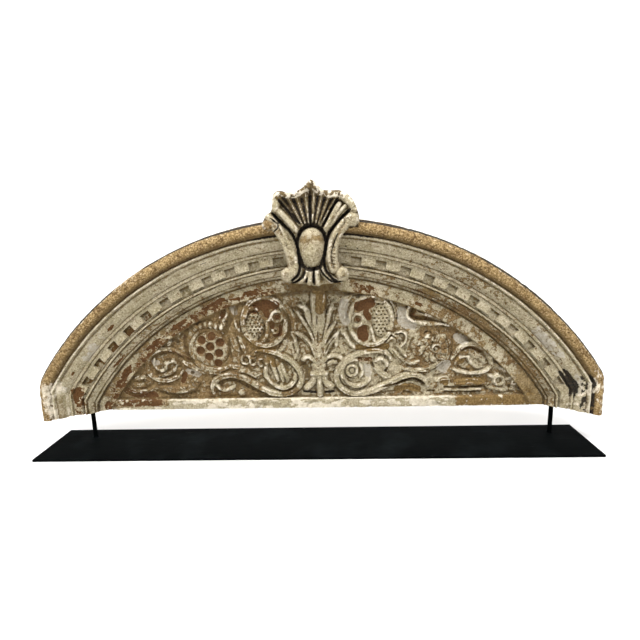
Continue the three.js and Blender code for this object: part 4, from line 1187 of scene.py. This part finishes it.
# The lip and the left ball are sandy like the roll. Painted shade lies in the hollows, and dirt in
# spots all over the straps and the foot.
lip_width = 17 + 8 * np.exp(-((kx / 12) ** 2)) + 12 * (patchy - 0.5)
on_lip = ease(kz, 652, 668) * ease(lip_width - edge_distance, 0, 5)
left_ball = ease(14 - np.hypot(kx + 106, kz - 602), 0, 4)
off_egg = egg_out > 1
looks["sand"] = np.maximum(0.4 * on_lip, 0.8 * left_ball)
lay(looks, "dirt_and_shade", 0.9 * low)
lay(looks, "dirt_and_shade", 0.6 * ease(spots, 0.5, 0.7) * off_egg * (1 - 0.7 * on_lip))
lay(looks, "dirt_and_shade", (0.44 + 1.2 * (spots - 0.5)) * ease(-kz, -650, -620) * off_egg)
looks["wash"] = (0.62 + 0.4 * (patchy - 0.5) + 0.2 * proud) * (1 - 0.7 * looks["sand"])
# A brown band with ragged edges crosses the boss.
from_band = kz - 564 + 24 * (patchy - 0.5) + 16 * (spots - 0.5)
boss_brown = egg_in * np.exp(-((from_band / 12) ** 2))
looks["wash"] = np.where(egg_in, 0.72 - 0.2 * boss_brown + 0.3 * (spots - 0.5), looks["wash"])
lay(looks, "ochre", 0.62 * boss_brown)
looks["dirt_and_shade"] = np.where(egg_in, 0.4 + 0.8 * (spots - 0.5), looks["dirt_and_shade"])
looks["black"] = looks["black"] * (1 - 0.9 * on_lip) * (0.72 + 0.5 * spots)
# Raised spots and the flutes' crests get painted highlight; the lip and the boss get pale chalky
# spots.
looks["chalk_and_highlight"] = 0.7 * proud * ease(spots, 0.4, 0.6) * off_egg
looks["chalk_and_highlight"] += 0.4 * on_lip * ease(spots, 0.36, 0.56)
looks["chalk_and_highlight"] += 0.4 * fluted * ease(valley, 0.85, 0.97) * ease(spots, 0.4, 0.55)
looks["chalk_and_highlight"] += 0.3 * egg_in * ease(spots, 0.5, 0.6)


def to_outline(edge):
    """Moves the cartouche's edge to its outline."""
    gap = np.hypot(edge[:, 0][:, None] - outline[:, 0], edge[:, 2][:, None] - outline[:, 1])
    nearest = outline[gap.argmin(1)]
    moved = edge.copy()
    moved[:, 0], moved[:, 2] = nearest[:, 0], nearest[:, 1]
    return moved


shell_inside = within(kx, kz, outline)
# The mouldings stop at the cartouche and don't run on through its hollows.
COVERED_Y, COVERED_FROM_EDGE = -18, 5
rim_x, rim_z = rim_points[:, 0], rim_points[:, 2]
covered = within(rim_x, rim_z, outline) & (from_outline(rim_x, rim_z, 4) > COVERED_FROM_EDGE)
rim_points[covered, 1] = np.maximum(rim_points[covered, 1], COVERED_Y)
shell_points, shell_faces, shell_looks = block(
    kx, CARTOUCHE_GROUND - shell.relief, kz, shell_inside, CARTOUCHE_BACK, to_outline, shell.looks
)


def limewashed_stone():
    """Soft warm stone under many coats of limewash: chalky and dry, bare and brown where it wore."""
    material, tree, shader = new_material("limewashed_stone")
    place = add(tree, "ShaderNodeTexCoord").outputs["Object"]
    look = {
        name: add(tree, "ShaderNodeAttribute", attribute_name=name).outputs["Fac"] for name in LOOKS
    }

    def sum_of(first, second, kind="ADD"):
        """Two numbers added, or worked by kind."""
        return add(tree, "ShaderNodeMath", {0: first, 1: second}, operation=kind).outputs[0]

    def line_at(value, level, half):
        """1 where the value is at a level, 0 where it is more than half away."""
        gap = sum_of(sum_of(value, level, "SUBTRACT"), 0.0, "ABSOLUTE")
        return ranged(gap, 0.25 * half, half, 1, 0)

    broad = noise(place, 1 / (45 * MM), 5, 0.6)
    flecks = noise(place, 1 / (10 * MM), 5, 0.72)
    fine = noise(place, 1 / (4.4 * MM), 3, 0.65)
    # The stone itself is tan, browner in veins. Its grain, half a millimetre, is drawn 4 mm wide.
    stone = mixed(ranged(broad, 0.35, 0.65), linear("#684f2f"), linear("#8d7750"))
    stone = mixed(ranged(fine, 0.42, 0.6, 0, 0.6), stone, linear("#5c4527"))
    stone = mixed(ranged(fine, 0.5, 0.38, 0, 0.5), stone, linear("#a38a62"))
    sandy = mixed(ranged(flecks, 0.38, 0.62), linear("#634a29"), linear("#9f8557"))
    sandy = mixed(ranged(fine, 0.52, 0.62, 0, 0.75), sandy, linear("#513c1f"))
    sandy = mixed(ranged(fine, 0.47, 0.38, 0, 0.6), sandy, linear("#c6ad80"))
    stone = mixed(look["sand"], stone, sandy)
    # Limewash lies in flakes some 5 to 15 mm across, bright at their broken edge and dark beyond it.
    washed = mixed(ranged(broad, 0.35, 0.65), linear("#988d6e"), linear("#b6aa90"))
    washed = mixed(ranged(fine, 0.47, 0.36, 0, 0.7), washed, linear("#d0c6ac"))
    washed = mixed(ranged(fine, 0.53, 0.64, 0, 0.7), washed, linear("#7b6d4d"))
    edge = sum_of(look["wash"], ranged(flecks, 0.25, 0.75, -0.42, 0.42))
    edge = sum_of(edge, ranged(fine, 0.25, 0.75, -0.14, 0.14))
    cover = ranged(edge, 0.44, 0.52)
    stone = mixed(cover, stone, washed)
    stone = mixed(sum_of(line_at(edge, 0.43, 0.045), 0.65, "MULTIPLY"), stone, linear("#4a3820"))
    stone = mixed(sum_of(line_at(edge, 0.535, 0.045), 0.6, "MULTIPLY"), stone, linear("#cfc4a8"))
    # Over it come grey paint, ochre, the brown of bare stone, dirt with painted shade, chalky wash
    # with painted highlight and soot with painted shade. Each is mottled between two colours by a
    # pattern, and ragged at its edge.
    shift = ranged(flecks, 0.3, 0.7, -0.35, 0.35)
    for name, pattern, low, high, first, second, start, end, most in (
        ("grey", flecks, 0.4, 0.6, "#a29986", "#bdb5a6", 0.32, 0.6, 0.85),
        ("ochre", fine, 0.4, 0.6, "#8f7546", "#644e2a", 0.4, 0.6, 0.8),
        ("bare", fine, 0.35, 0.65, "#664626", "#4a2f14", 0.46, 0.54, 1),
        ("dirt_and_shade", flecks, 0.4, 0.6, "#34250f", "#6b5733", 0.35, 0.85, 0.92),
        ("chalk_and_highlight", flecks, 0.35, 0.65, "#cdc1a8", "#efe5d2", 0.42, 0.75, 0.85),
        ("black", fine, 0.46, 0.64, "#0f0a06", "#3a2f20", 0.42, 0.68, 0.97),
    ):
        amount = sum_of(look[name], shift)
        colour = mixed(ranged(pattern, low, high), linear(first), linear(second))
        stone = mixed(ranged(amount, start, end, 0, most), stone, colour)
        if name == "bare":
            # The wash stands up pale round a bare patch.
            edge = sum_of(line_at(amount, 0.44, 0.06), 0.75, "MULTIPLY")
            stone = mixed(edge, stone, linear("#cdbd9a"))
    tree.links.new(stone, shader.inputs["Base Color"])
    tree.links.new(ranged(cover, 0, 1, 0.82, 0.94), shader.inputs["Roughness"])
    shader.inputs["IOR"].default_value = 1.5
    shader.inputs["Specular IOR Level"].default_value = 0.3
    height = sum_of(sum_of(cover, 0.5, "MULTIPLY"), sum_of(flecks, 1.6, "MULTIPLY"))
    height = sum_of(height, sum_of(fine, -1.0, "MULTIPLY"))
    bump = add(tree, "ShaderNodeBump", {"Height": height, "Strength": 0.8, "Distance": 2.5 * MM})
    tree.links.new(bump.outputs[0], shader.inputs["Normal"])
    return material


points, faces, all_looks = [], [], []
for part_points, part_faces, part_looks in (
    (rim_points, rim_faces, rim_looks),
    (field_points, field_faces, field_looks),
    (shell_points, shell_faces, shell_looks),
):
    first = sum(len(p) for p in points)
    points.append(part_points)
    faces += [[first + v for v in face] for face in part_faces]
    all_looks.append(part_looks)
mesh = bpy.data.meshes.new("transom_stone")
mesh.from_pydata(((np.vstack(points) + [STONE_X, 0, 0]) * MM).tolist(), [], faces)
mesh.validate()
all_looks = np.clip(np.vstack(all_looks), 0, 1).astype(np.float32)
for k, name in enumerate(LOOKS):
    layer = mesh.attributes.new(name, "FLOAT", "POINT")
    layer.data.foreach_set("value", all_looks[:, k].copy())
mesh.shade_smooth()
mesh.set_sharp_from_angle(angle=math.radians(48))
stone = linked("transom_stone", mesh)
stone.data.materials.append(limewashed_stone())
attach(stone, "root")
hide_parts("transom")

# The floor and the wall behind: one sheet of white studio paper with a wide curve at its back.
FLOOR_HALF, WALL_Y, WALL_TOP, BEND = 5.0, 3.2, 4.0, 1.2
sweep_line = [(-4.5, 0.0), (WALL_Y - BEND, 0.0)]
sweep_line += [
    (WALL_Y - BEND + BEND * math.sin(a), BEND - BEND * math.cos(a))
    for a in np.linspace(0.1, math.pi / 2, 14)
]
sweep_line.append((WALL_Y, WALL_TOP))
paper_points = [(side * FLOOR_HALF, y, z) for y, z in sweep_line for side in (-1, 1)]
paper_faces = [(2 * k, 2 * k + 1, 2 * k + 3, 2 * k + 2) for k in range(len(sweep_line) - 1)]
paper_mesh = bpy.data.meshes.new("studio_paper")
paper_mesh.from_pydata(paper_points, [], paper_faces)
paper_mesh.shade_smooth()
paper = linked("studio_paper", paper_mesh)
# The paper lies half a millimetre low, so that it doesn't meet the plate's underside.
paper.location.z = -0.5 * MM
paper_look, _, paper_shader = new_material("white_paper")
paper_shader.inputs["Base Color"].default_value = linear("#f4f4f3")
paper_shader.inputs["Roughness"].default_value = 0.9
paper_shader.inputs["Specular IOR Level"].default_value = 0.1
paper.data.materials.append(paper_look)


# The lights: a wide soft box above and in front, a weak one from each side, one that brightens the
# wall behind, and a pale room.
def soft_box(name, place, aim, width, depth, watts):
    """A rectangular area light at place, turned to face aim."""
    light = bpy.data.lights.new(name, "AREA")
    light.shape = "RECTANGLE"
    light.size, light.size_y, light.energy = width, depth, watts
    lamp = linked(name, light)
    lamp.location = place
    ray = np.array(aim) - np.array(place)
    lamp.rotation_mode = "QUATERNION"
    lamp.rotation_quaternion = Vector(ray).to_track_quat("-Z", "Y")


soft_box("top_box", (-0.2, -0.9, 2.3), (0, 0.0, 0.3), 2.4, 1.0, 90)
soft_box("left_fill", (-2.6, -2.2, 1.4), (0, 0, 0.3), 1.6, 1.6, 10)
soft_box("right_fill", (2.6, -2.2, 1.4), (0, 0, 0.3), 1.6, 1.6, 10)
soft_box("wall_wash", (0, 1.2, 3.4), (0, 3.2, 0.9), 9, 1.4, 190)
room = bpy.data.worlds.new("pale_room")
room.use_nodes = True
room.node_tree.nodes["Background"].inputs["Color"].default_value = (1, 1, 1, 1)
room.node_tree.nodes["Background"].inputs["Strength"].default_value = 0.38
bpy.context.scene.world = room
bpy.context.scene.view_settings.view_transform = "Standard"

# The camera: hand height before the crown, 1.2 m off and a little to the right, turned a little to
# the left, tipped 11 degrees down and hardly rolled.
FOCAL_PIXELS, PICTURE_PIXELS = 456, 640
camera_data = bpy.data.cameras.new("camera")
camera_data.sensor_width = 36
camera_data.lens = camera_data.sensor_width * FOCAL_PIXELS / PICTURE_PIXELS
camera = linked("camera", camera_data)
camera.location = (0.0637, -1.1882, 0.5898)
PAN, TIP, ROLL = math.radians(2.15), math.radians(11.26), math.radians(-1.55)
turn = Matrix.Rotation(PAN, 4, "Z") @ Matrix.Rotation(math.radians(90) - TIP, 4, "X")
camera.rotation_euler = (turn @ Matrix.Rotation(ROLL, 4, "Z")).to_euler("XYZ")
bpy.context.scene.camera = camera
